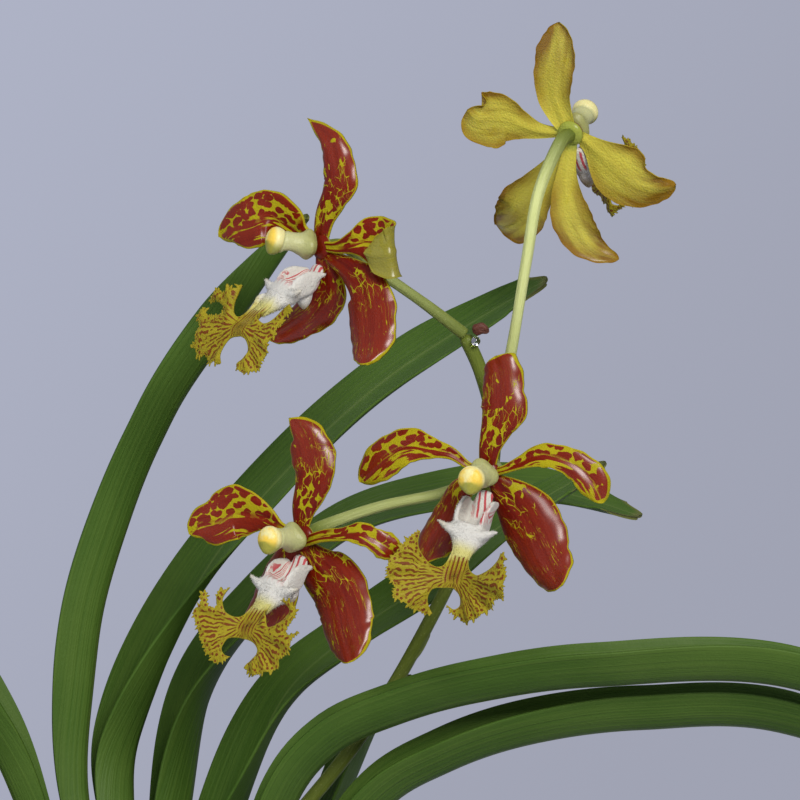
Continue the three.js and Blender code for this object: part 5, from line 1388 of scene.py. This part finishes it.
def cut_out(outline, pitch):
    """A grid of points cut to a closed outline. A square stays where a line from its middle to
    the right crosses the outline an odd number of times, and the points on the cut move to the
    nearest point of the outline. Returns points, quads and each point's distance to the cut."""
    low, high = outline.min(0), outline.max(0)
    columns, rows = np.ceil((high - low) / pitch).astype(int) + 1
    steps = np.meshgrid(np.arange(columns), np.arange(rows))
    points = low + pitch * np.stack(steps, -1).reshape(-1, 2)
    quads = grid_quads(rows, columns, False)
    a, b = outline, np.roll(outline, -1, 0)
    x, y = points[quads].mean(1).T[..., None]
    rise = np.where(a[:, 1] == b[:, 1], 1e-9, b[:, 1] - a[:, 1])
    meets = a[:, 0] + (y - a[:, 1]) * (b[:, 0] - a[:, 0]) / rise
    crossed = ((a[:, 1] > y) != (b[:, 1] > y)) & (x < meets)
    kept, quads = np.unique(quads[crossed.sum(1) % 2 == 1], return_inverse=True)
    quads, points = quads.reshape(-1, 4), points[kept]
    side = b - a
    share = ((points[:, None] - a) * side).sum(-1) / np.maximum((side ** 2).sum(-1), 1e-9)
    nearest = a + np.clip(share, 0, 1)[..., None] * side
    gap = np.linalg.norm(points[:, None] - nearest, axis=-1)
    which = np.arange(len(points)), gap.argmin(1)
    on_cut = np.bincount(quads.ravel(), minlength=len(points)) < 4
    points = np.where(on_cut[:, None], nearest[which], points)
    return points, quads, np.where(on_cut, 0, gap[which])


def midlobe(flower, number, size):
    """The fringed midlobe: a sheet cut to its outline, bent into place, ruffled by waves round
    the fork that grow with the distance from it, thick on the isthmus and thin at its edges."""
    rng = np.random.default_rng(FRINGE_SEED + number)
    sides = LIPS.get(number, LIPS[3])
    flat, quads, edge = cut_out(lip_outline(sides, rng, size.tooth_length / MM), CUT_PITCH)
    x, b = flat.T
    reach, turn = np.hypot(x, b + 0.6), np.arctan2(x, -b - 0.6)
    waves = 0.45 * np.sin(7 * turn + number) + 0.22 * np.sin(19 * turn + 3 * number)
    ruffle = waves * smooth(4, 12, reach)
    bulk = 1 + 0.9 * smooth(-5, -11, b)
    thick = size.sheet / MM * bulk * mix(0.35, 1, smooth(0, 1, edge))
    front, back = (in_frame(flower, lip_bend(flower, x, b, ruffle + k * thick / 2)) for k in (1, -1))
    marks = dict(flat=np.stack([x, b, np.full_like(x, 4.7 * number)], -1), edge=edge)
    return sheet(front, back, quads, **marks)


def side_lobe(sign):
    """An upright side lobe, round in outline: its height is that of a flattened arch, and it
    bellies and leans outwards as it rises."""
    share = np.linspace(0, 1, 24)[:, None]
    height = np.linspace(0, 1, 16)[None, :]
    arch = np.sin(np.pi * mix(0.1, 0.9, share)) ** 0.7
    n = mix(*SIDE_LOBE_REACH, share) + 0.5 * height * (share - 0.3)
    foot = mix(*SIDE_LOBE_FOOT, smooth(0, 0.5, share))
    u = mix(foot, SIDE_LOBE_TOP - 0.25 * (n - 3.2), height * arch)
    middle = 2.2 + 0.7 * height + 0.3 * np.sin(np.pi * height) - 0.4 * smooth(0.7, 1, share)
    half = 0.5 * mix(1.5, 0.85, height)
    faces = [stacked(sign * (middle + k * half), u, n) for k in (1, -1)]
    return blade(*faces)


def funnel(flower):
    """The white slope from the horns down to the isthmus: a rod of oval section along the line
    from the throat to the fork, wide and deep above, and sinking into the isthmus below."""
    share, wide, deep = np.array(FUNNEL).T
    foot = throat_foot(flower)
    t = np.linspace(0, 1, 26)
    line = mix(foot, np.array(flower["fork"], float), share[:, None])
    front = unit(np.cross(np.array(flower["fork"]) - foot, (1, 0, 0)))
    proud = mix(1.5, 0.4, np.linspace(0, 1, len(FUNNEL)))
    centre, tangent = path(line + (proud - deep)[:, None] * front, t)
    angle = circle(28)[None, :]
    w, d = profile(wide, t)[:, None], profile(deep, t)[:, None]
    return tube(sweep(centre, tangent, 1 / np.hypot(np.cos(angle) / d, np.sin(angle) / w), 28))


def throat_skin(flower, number, size):
    """The white part of the lip: gutter, spur, horns, side lobes and funnel, run together as one
    skin in the flower's own axes, with short hairs on it."""
    parts = [rod(points, radii, steps=32, sides=24) for points, radii in (GUTTER, SPUR, HORNS)]
    parts[0].points[:, 0] *= GUTTER_SPREAD
    parts += [side_lobe(sign) for sign in (1, -1)]
    for part in parts:
        part.marks.clear()
        low = smooth(-3.5, -7.5, part.points[:, 1])
        part.points[:, :2] += np.array(flower["shift"]) * low[:, None]
    skin, normals = run_together([*parts, funnel(flower)], SKIN_VOXEL, SKIN_PASSES)
    r, u, n = skin.points.T
    within = smooth(2.75, 2.35, np.abs(r)) * smooth(-9.4, -8.4, u) * smooth(10.5, 8.5, n)
    rng = np.random.default_rng(VELVET_SEED + number)
    furry = smooth(-7.8, -9.2, u) * smooth(6.2, 8.0, n) + smooth(2.6, 4.0, np.abs(r))
    chosen = rng.choice(len(r), size.hairs, p=furry / furry.sum())
    velvet = hairs(skin.points[chosen], normals[chosen], rng, size.hair_length / MM)
    foot = throat_foot(flower)
    fall = np.array(flower["fork"], float) - foot
    skin = Surface(skin.points, skin.faces, dict(local=skin.points.copy(), inside=within))
    velvet.marks.update(local=velvet.points.copy(), inside=np.zeros(len(velvet.points)))
    for part in (skin, velvet):
        part.marks["fall"] = (part.points - foot) @ fall / (fall @ fall)
    both = join([skin, velvet])
    both.points[:, 1] -= THROAT_TILT * both.points[:, 0]
    return both._replace(points=in_frame(flower, both.points))


def hairs(roots, normals, rng, length):
    """Three-sided spikes that stand out of a skin: each leans off its normal by a draw."""
    count = len(roots)
    way = unit(normals + rng.normal(0, 0.35, (count, 3)))
    side = unit(np.cross(way, rng.normal(0, 1, (count, 3))))
    other = np.cross(way, side)
    angle = np.array([0, 2, 4]) * np.pi / 3
    ring = np.cos(angle)[:, None] * side[:, None] + np.sin(angle)[:, None] * other[:, None]
    foot = roots[:, None] + HAIR_FOOT * ring - HAIR_SINK * way[:, None]
    tips = roots + way * (length * rng.uniform(0.5, 1.0, (count, 1)))
    points = np.concatenate([foot, tips[:, None]], 1).reshape(-1, 3)
    corners = np.array([(0, 1, 3), (1, 2, 3), (2, 0, 3), (0, 2, 1)])
    faces = (np.arange(count)[:, None, None] * 4 + corners).reshape(-1, 3)
    return Surface(points, [faces], {})


def flower_stalk(flower):
    """A flower's stalk: faintly six-ribbed, slim in the middle and flared under the flower."""
    forward = flower_axes(flower["facing"])[2]
    at = np.array(flower["at"])
    neck = at - 6 * forward + (0, 0, flower["rise"])
    points = [*flower["stalk"], tuple(neck), tuple(at - 0.9 * forward)]
    share = np.linspace(0, 1, 90)
    centre, tangent = path(points, share)
    radius = profile(STALK_RADII, share)[:, None]
    angle = circle(24)[None, :]
    ribs = 1 + 0.05 * np.cos(6 * angle + 5 * share[:, None]) * smooth(0.2, 0.6, share)[:, None]
    rings = sweep(centre, tangent, radius * ribs, 24)
    length = length_of(centre)
    turn = np.abs(angle / np.pi - 1)
    place = stacked(share[:, None], share[:, None] * length, turn)
    whitened = flower["pale"] * smooth(-0.2, 0.5, share) * smooth(0.99, 0.72, share)
    pale = np.broadcast_to(whitened[:, None], rings.shape[:2])
    return tube(rings, place=place, pale=pale)


# Sizes and colours


def colour(label, default, text):
    """A colour that the user can change, in linear light."""
    return FloatVectorProperty(name=label, description=text, default=default, size=3, min=0.0, max=1.0,
                               subtype="COLOR")


def length(label, default, text):
    """A length that the user can change, in metres."""
    return FloatProperty(name=label, description=text, default=default, min=0.0, unit="LENGTH",
                         subtype="DISTANCE")


class PotSize(PropertyGroup):
    """The pot's clay."""

    clay: colour("Clay", (0.50, 0.20, 0.095), "Fired clay")
    clay_dark: colour("Damp clay", (0.33, 0.115, 0.05), "Clay where it is damp or less fired")
    clay_light: colour("Grit", (0.66, 0.36, 0.22), "Pale specks of grit")
    salt_colour: colour("Salts", (0.72, 0.66, 0.58), "Mineral salts dried on the outside")
    salts: FloatProperty(name="Salt cover", description="How much of the foot the salts cover",
                         default=0.7, min=0.0, max=1.0, subtype="FACTOR")


class BarkSize(PropertyGroup):
    """The bark in the pot."""

    chips: IntProperty(name="Chips", description="Chips on top of the bed", default=130, min=20, max=300)
    chip_length: length("Chip length", 0.017, "Length of a middling chip")
    dark: colour("Dark bark", (0.075, 0.036, 0.02), "The darkest chips")
    light: colour("Light bark", (0.25, 0.125, 0.065), "The lightest chips")
    grey: colour("Weathering", (0.27, 0.235, 0.19), "Greyed crests")


class RootSize(PropertyGroup):
    """The roots' coat."""

    coat: colour("Coat", (0.47, 0.48, 0.40), "Silvery coat")
    coat_shade: colour("Coat over green", (0.29, 0.33, 0.21), "Coat where the green shows through")
    coat_light: colour("Net lines", (0.60, 0.60, 0.54), "Pale net in the coat")
    tip: colour("Growing tip", (0.22, 0.34, 0.07), "Live root tips")


class LeafSize(PropertyGroup):
    """The leaves and their sheaths."""

    half_width: length("Half width", 0.011, "Half the width of a middling leaf, laid flat")
    thickness: length("Thickness", 0.0014, "Thickness at the keel")
    green: colour("Leaf", (0.060, 0.124, 0.017), "Main green")
    green_dark: colour("Dark leaf", (0.040, 0.086, 0.012), "Darker bands")
    green_light: colour("Light leaf", (0.09, 0.155, 0.025), "Lighter veins and patches")
    keel: colour("Keel", (0.12, 0.18, 0.04), "Keel line and leaf base")
    dry: colour("Dry tip", (0.26, 0.19, 0.08), "The very tips")
    sheath: colour("Sheath", (0.17, 0.25, 0.06), "Green sheaths")
    sheath_dark: colour("Dark sheath", (0.08, 0.14, 0.03), "Green sheaths between the ribs")
    straw: colour("Straw", (0.40, 0.30, 0.15), "Old sheaths")
    straw_dark: colour("Dark straw", (0.17, 0.11, 0.05), "Old sheaths between the ribs")


class StalkSize(PropertyGroup):
    """The spike, its withered bract and the drop."""

    green: colour("Stalk", (0.165, 0.205, 0.030), "Main green of the spike")
    green_dark: colour("Dark stalk", (0.09, 0.125, 0.016), "Darker lines")
    pale: colour("Pale stalk", (0.54, 0.60, 0.19), "The palest flower stalk")
    pale_light: colour("Whitish stalk", (0.68, 0.72, 0.34), "Its lightest lines and dots")
    bract: colour("Bract", (0.19, 0.05, 0.025), "Withered bract")
    bract_dark: colour("Bract creases", (0.06, 0.016, 0.01), "Its creases")


class TepalSize(PropertyGroup):
    """The sepals and petals."""

    thickness: length("Thickness", 0.0009, "Thickness along the midline")
    red: colour("Red", (0.12, 0.003, 0.0005), "Brick red of the markings near the base")
    red_brown: colour("Red brown", (0.20, 0.016, 0.002), "Markings near the tip")
    yellow: colour("Yellow", (0.39, 0.32, 0.009), "Yellow between the markings")
    yellow_green: colour("Green yellow", (0.34, 0.30, 0.008), "Greener parts of the yellow")
    back: colour("Back", (0.59, 0.52, 0.065), "Khaki backs")
    back_blush: colour("Blush", (0.235, 0.125, 0.010), "Red blush on the backs")
    back_foot: colour("Foot of the back", (0.30, 0.34, 0.05), "Green of the backs round the stalk")
    # Painted shade: the darker colour of the folded petal's back, which faces away from the light.
    folded_back_shade: colour("Folded back", (0.24, 0.215, 0.03), "Back of the folded petal")


class ColumnSize(PropertyGroup):
    """The column."""

    wax: colour("Column", (0.53, 0.535, 0.26), "Waxy cream")
    foot: colour("Foot", (0.34, 0.345, 0.12), "Greener foot")
    cap: colour("Cap", (0.80, 0.74, 0.34), "Pollen cap")
    cap_deep: colour("Deep cap", (0.86, 0.60, 0.08), "Orange tint on the cap")
    cap_rim: colour("Cap rim", (0.29, 0.31, 0.045), "Green lower rim")


class LipSize(PropertyGroup):
    """The lip."""

    sheet: length("Sheet", 0.00075, "Thickness of the midlobe")
    tooth_length: length("Teeth", 0.0012, "Longest teeth of the fringe")
    hair_length: length("Hairs", 0.0004, "Longest hairs of the velvet")
    hairs: IntProperty(name="Hair count", description="Hairs on each throat", default=1500, min=0, max=6000)
    yellow: colour("Lip yellow", (0.35, 0.285, 0.018), "Yellow of the lobes")
    yellow_deep: colour("Deep yellow", (0.27, 0.22, 0.010), "Deeper yellow")
    yellow_pale: colour("Pale yellow", (0.56, 0.52, 0.17), "Start of the isthmus")
    dash: colour("Dashes", (0.15, 0.026, 0.008), "Red-brown dashes")
    white: colour("White", (0.62, 0.605, 0.55), "White velvet")
    cream: colour("Cream", (0.57, 0.53, 0.42), "Tips of the horns")
    crimson: colour("Crimson", (0.46, 0.012, 0.03), "Lines in the throat")
    spur: colour("Spur", (0.42, 0.34, 0.21), "Brownish cream spur")


class StageSize(PropertyGroup):
    """Floor, light and camera."""

    # The backdrop's two colours are painted falloff of light: lighter where it is lit, darker on its shaded
    # side.
    backdrop: colour("Backdrop", (0.43, 0.455, 0.57), "Pale grey behind the plant, lighter side")
    backdrop_shaded_side: colour("Dim backdrop", (0.35, 0.365, 0.45), "Pale grey behind the plant, darker side")
    floor: colour("Floor", (0.44, 0.455, 0.53), "Pale floor")
    lens: FloatProperty(name="Lens", description="Focal length of the camera in mm", default=191.25,
                        min=20.0, max=400.0)
    distance: length("Distance", 0.85, "From the camera to the flowers")
    elevation: FloatProperty(name="Elevation", description="Angle that the camera looks down at",
                             default=math.radians(3.0), subtype="ANGLE", unit="ROTATION")
    key: FloatProperty(name="Key light", description="Power of the main light in watts",
                       default=17.5, min=0.0)


# Operators


class ORCHID_OT_pot(Operator):
    """Turn the pot and cut its drain holes"""

    bl_idname = "orchid.pot"
    bl_label = "Pot"

    def execute(self, context):
        outline = filled_in(softened(pot_outline(), POT_ROUNDING), 3.0)
        rings = turned(outline[outline[:, 0] > 0], POT_SIDES)
        blank = linked("pot_blank", mesh_of("pot_blank", tube(rings)))
        drills = []
        for k in range(DRAINS):
            angle = 2 * math.pi * (k + 0.5) / DRAINS
            x, y = DRAIN_CIRCLE * math.cos(angle), DRAIN_CIRCLE * math.sin(angle)
            drill = rod([(x, y, -9), (x, y, 4), (x, y, 17)], (DRAIN_RADIUS, DRAIN_RADIUS), 8, 40,
                        start=False, end=False)
            drill.marks.clear()
            drills.append(linked("drill", mesh_of("drill", drill)))
            cut = blank.modifiers.new("drain", "BOOLEAN")
            cut.operation, cut.solver, cut.object = "DIFFERENCE", "EXACT", drills[-1]
        mesh = baked(blank)
        for drill in drills:
            bpy.data.objects.remove(drill)
        mesh.name = "pot_turned"
        mesh.materials.clear()
        piece_of("pot_turned", mesh, clay_finish(context.scene.orchid_pot), ["pot"], sharp=35)
        return {"FINISHED"}


class ORCHID_OT_bark(Operator):
    """Fill the pot with bark"""

    bl_idname = "orchid.bark"
    bl_label = "Bark"

    def execute(self, context):
        size = context.scene.orchid_bark
        shape = size.chip_length / MM * np.array([1.0, 0.68, 0.4])
        surfaces = [bark_bed(), *bark_chips(size.chips, shape)]
        piece("bark_bed", surfaces, bark_finish(size), ["bark"], sharp=28)
        return {"FINISHED"}


class ORCHID_OT_roots(Operator):
    """Grow the roots into the bark and over the rim"""

    bl_idname = "orchid.roots"
    bl_label = "Roots"

    def execute(self, context):
        material = root_finish(context.scene.orchid_root)
        for i, (points, radius) in enumerate(ROOTS, 1):
            piece(f"root_{i}_coat", [root_rod(points, radius, i)], material, [f"root_{i}"])
        return {"FINISHED"}


class ORCHID_OT_cane(Operator):
    """Wrap the cane in its sheaths"""

    bl_idname = "orchid.cane"
    bl_label = "Cane"

    def execute(self, context):
        shaft = rod(CANE_PATH, CANE_RADII, steps=60, sides=32, age=0.9)
        sheaths = [sheath(leaf) for leaf in LEAVES]
        material = sheath_finish(context.scene.orchid_leaf)
        piece("cane_sheaths", [shaft, *sheaths], material, ["cane"])
        return {"FINISHED"}


class ORCHID_OT_leaves(Operator):
    """Make the strap leaves"""

    bl_idname = "orchid.leaves"
    bl_label = "Leaves"

    def execute(self, context):
        size = context.scene.orchid_leaf
        material = leaf_finish(size)
        for i, leaf in enumerate(LEAVES, 1):
            piece(f"leaf_{i}_strap", [leaf_blade(leaf, i, size)], material, [f"leaf_{i}"])
        return {"FINISHED"}


class ORCHID_OT_spike(Operator):
    """Make the flower spike, its withered bract and the drop"""

    bl_idname = "orchid.spike"
    bl_label = "Spike"

    def execute(self, context):
        size = context.scene.orchid_stalk
        stem = rod(SPIKE_PATH, SPIKE_RADII, steps=220, sides=26, pale=0.0)
        bract = rod(BRACT_PATH, (1.0, 1.05, 0.4), steps=24, sides=18, pale=0.1)
        stalks = [flower_stalk(flower) for flower in FLOWERS]
        piece("spike_stem", [stem, bract, *stalks], stalk_finish(size), ["spike"])
        tip = rod(TIP_PATH, (0.9, 1.15, 0.5), steps=24, sides=18)
        angle = np.arctan2(tip.points[:, 2] - TIP_PATH[1][2], tip.points[:, 1] - TIP_PATH[1][1])
        tip.points[:, 2] += 0.16 * np.sin(4 * angle) + 0.1 * np.sin(3.1 * tip.points[:, 0])
        piece("spike_tip_bract", [tip], bract_finish(size), ["spike_tip"])
        lean, turn = np.linspace(0.05, np.pi - 0.05, 20)[:, None], circle(32)
        ball = stacked(np.sin(lean) * np.cos(turn), np.sin(lean) * np.sin(turn), np.cos(lean))
        drop = tube(ball * DROP_RADII + np.array(DROP))
        piece("nectar_bead", [drop], drop_finish(), ["nectar_drop"])
        return {"FINISHED"}


class ORCHID_OT_tepals(Operator):
    """Make the sepals and petals of the four flowers"""

    bl_idname = "orchid.tepals"
    bl_label = "Sepals and petals"

    def execute(self, context):
        size = context.scene.orchid_tepal
        material = tepal_finish(size)
        for i, flower in enumerate(FLOWERS, 1):
            blades = [tepal_blade(flower, name, i, size) for name in BLADES]
            piece(f"flower_{i}_perianth", [tepal_disc(flower), *blades], material,
                  [f"flower_{i}_tepals"])
        return {"FINISHED"}


class ORCHID_OT_columns(Operator):
    """Make the columns with their caps"""

    bl_idname = "orchid.columns"
    bl_label = "Columns"

    def execute(self, context):
        material = column_finish(context.scene.orchid_column)
        for i, flower in enumerate(FLOWERS, 1):
            piece(f"flower_{i}_column_wax", [column_body(flower)], material,
                  [f"flower_{i}_column"])
        return {"FINISHED"}


class ORCHID_OT_lips(Operator):
    """Make the lips: velvety throats and fringed midlobes"""

    bl_idname = "orchid.lips"
    bl_label = "Lips"

    def execute(self, context):
        size = context.scene.orchid_lip
        sheet_material, throat_material = midlobe_finish(size), throat_finish(size)
        for i, flower in enumerate(FLOWERS, 1):
            solid = [f"flower_{i}_lip"]
            piece(f"flower_{i}_throat", [throat_skin(flower, i, size)], throat_material, solid)
            piece(f"flower_{i}_midlobe", [midlobe(flower, i, size)], sheet_material, solid)
        return {"FINISHED"}


CAMERA_AIM = (0.065, -0.034, 0.265)  # the middle of the photograph, in the flowers' plane
SENSOR = 36.0
FLOOR_RADIUS, FLOOR_RINGS, FLOOR_SIDES = 1.1, 24, 96
FLOOR_DROP = 0.05  # how far under the pot the floor lies, in mm
AMBIENT = 0.5  # how bright the backdrop is as a light, next to how bright it looks


# Each lamp: name, place, size, power as a share of the main light's, tint, and whether shiny
# skins mirror it.
LAMPS = (
    ("key", (0.42, -1.2, 0.88), 0.5, 1.0, (1.0, 0.97, 0.93), True),
    ("fill", (-0.95, -0.8, 0.65), 0.9, 0.3, (0.95, 0.97, 1.0), False),
    ("back", (-0.3, 1.1, 1.0), 0.7, 0.4, (1.0, 1.0, 1.0), False),
)


def lamp(name, place, size, power, tint, mirrored):
    """A square area light that looks at the flowers."""
    light = bpy.data.lights.new(name, "AREA")
    light.size, light.energy, light.color = size, power, tint
    made = linked(name, light)
    made.location = place
    made.visible_glossy = mirrored
    made.rotation_euler = (Vector(CAMERA_AIM) - Vector(place)).to_track_quat("-Z", "Y").to_euler()


def floor_finish(size):
    """The floor: pale and matt, faintly uneven, and fading into the backdrop far out."""
    material, tree, shader = finish("floor", 0.8, Specular_IOR_Level=0.15)
    x, y, _ = tree.parts(tree.place())
    far = tree.math("SQRT", tree.plus(tree.times(x, x), tree.times(y, y)))
    cloud = tree.noise(tree.place(), 3.0, 3.0)
    tree.put(shader["Base Color"], tree.blend(tree.times(cloud, 0.12), size.floor, size.backdrop))
    tree.put(shader["Alpha"], tree.step(FLOOR_RADIUS, 0.2 * FLOOR_RADIUS, far))
    return material


class ORCHID_OT_stage(Operator):
    """Lay the floor, hang the lights and set the camera"""

    bl_idname = "orchid.stage"
    bl_label = "Stage"

    def execute(self, context):
        size, scene = context.scene.orchid_stage, context.scene
        radius = np.linspace(0.02, 1, FLOOR_RINGS)[:, None] ** 2 * FLOOR_RADIUS / MM
        angle = circle(FLOOR_SIDES)
        rings = stacked(radius * np.cos(angle), radius * np.sin(angle), -FLOOR_DROP)
        points = np.vstack([rings.reshape(-1, 3), (0, 0, -FLOOR_DROP)])
        k = np.arange(FLOOR_SIDES)
        middle = stacked(k, (k + 1) % FLOOR_SIDES, len(points) - 1)[:, ::-1]
        faces = [grid_quads(FLOOR_RINGS, FLOOR_SIDES, True)[:, ::-1], middle]
        floor = linked("floor", mesh_of("floor", Surface(points, faces, {})))
        floor.data.materials.append(floor_finish(size))

        world = bpy.data.worlds.new("studio")
        world.use_nodes = True
        tree = Tree(world.node_tree)
        x, _, z = tree.parts(tree.add("TexCoord").outputs["Generated"])
        # Painted falloff of light: the backdrop darkens towards the right and the bottom.
        dim = tree.step(-0.2, 0.2, tree.times_plus(z, -0.8, x))
        backdrop = tree.blend(dim, size.backdrop, size.backdrop_shaded_side)
        background = world.node_tree.nodes["Background"].inputs
        tree.put(background["Color"], backdrop)
        seen = tree.add("LightPath").outputs["Is Camera Ray"]
        tree.put(background["Strength"], tree.times_plus(seen, 1 - AMBIENT, AMBIENT))
        scene.world = world
        scene.view_settings.view_transform = "Standard"

        for name, place, side, share, tint, mirrored in LAMPS:
            lamp(name, place, side, size.key * share, tint, mirrored)

        lens = bpy.data.cameras.new("camera")
        lens.sensor_width, lens.lens = SENSOR, size.lens
        lens.clip_start, lens.clip_end = 0.05, 40.0
        camera = linked("camera", lens)
        away = Vector((0, -math.cos(size.elevation), math.sin(size.elevation)))
        camera.location = Vector(CAMERA_AIM) + away * size.distance
        camera.rotation_euler = (-away).to_track_quat("-Z", "Y").to_euler()
        scene.camera = camera
        return {"FINISHED"}


class ORCHID_PT_panel(Panel):
    """Sizes, colours and pieces of the orchid."""

    bl_idname = "ORCHID_PT_panel"
    bl_label = "Potted Vanda"
    bl_space_type = "VIEW_3D"
    bl_region_type = "UI"
    bl_category = "Orchid"

    def draw(self, context):
        layout = self.layout
        for group, kind in SIZES.items():
            box = layout.box()
            box.label(text=kind.__doc__)
            for name in kind.__annotations__:
                box.prop(getattr(context.scene, group), name)
        for operator in OPERATORS:
            layout.operator(operator.bl_idname)


SIZES = {
    "orchid_pot": PotSize, "orchid_bark": BarkSize, "orchid_root": RootSize,
    "orchid_leaf": LeafSize, "orchid_stalk": StalkSize, "orchid_tepal": TepalSize,
    "orchid_column": ColumnSize, "orchid_lip": LipSize, "orchid_stage": StageSize,
}
OPERATORS = (
    ORCHID_OT_stage, ORCHID_OT_pot, ORCHID_OT_bark, ORCHID_OT_roots, ORCHID_OT_cane,
    ORCHID_OT_leaves, ORCHID_OT_spike, ORCHID_OT_tepals, ORCHID_OT_columns, ORCHID_OT_lips,
)


def register():
    """Adds the classes to Blender, and the sizes to its scenes."""
    for kind in (*SIZES.values(), *OPERATORS, ORCHID_PT_panel):
        bpy.utils.register_class(kind)
    for group, kind in SIZES.items():
        setattr(bpy.types.Scene, group, PointerProperty(type=kind))


def unregister():
    """Takes them out again."""
    for group in SIZES:
        delattr(bpy.types.Scene, group)
    for kind in (ORCHID_PT_panel, *reversed(OPERATORS), *SIZES.values()):
        bpy.utils.unregister_class(kind)


def main():
    """Builds every piece round the frame."""
    register()
    for operator in OPERATORS:
        group, name = operator.bl_idname.split(".")
        getattr(getattr(bpy.ops, group), name)()


if __name__ == "__main__":
    main()
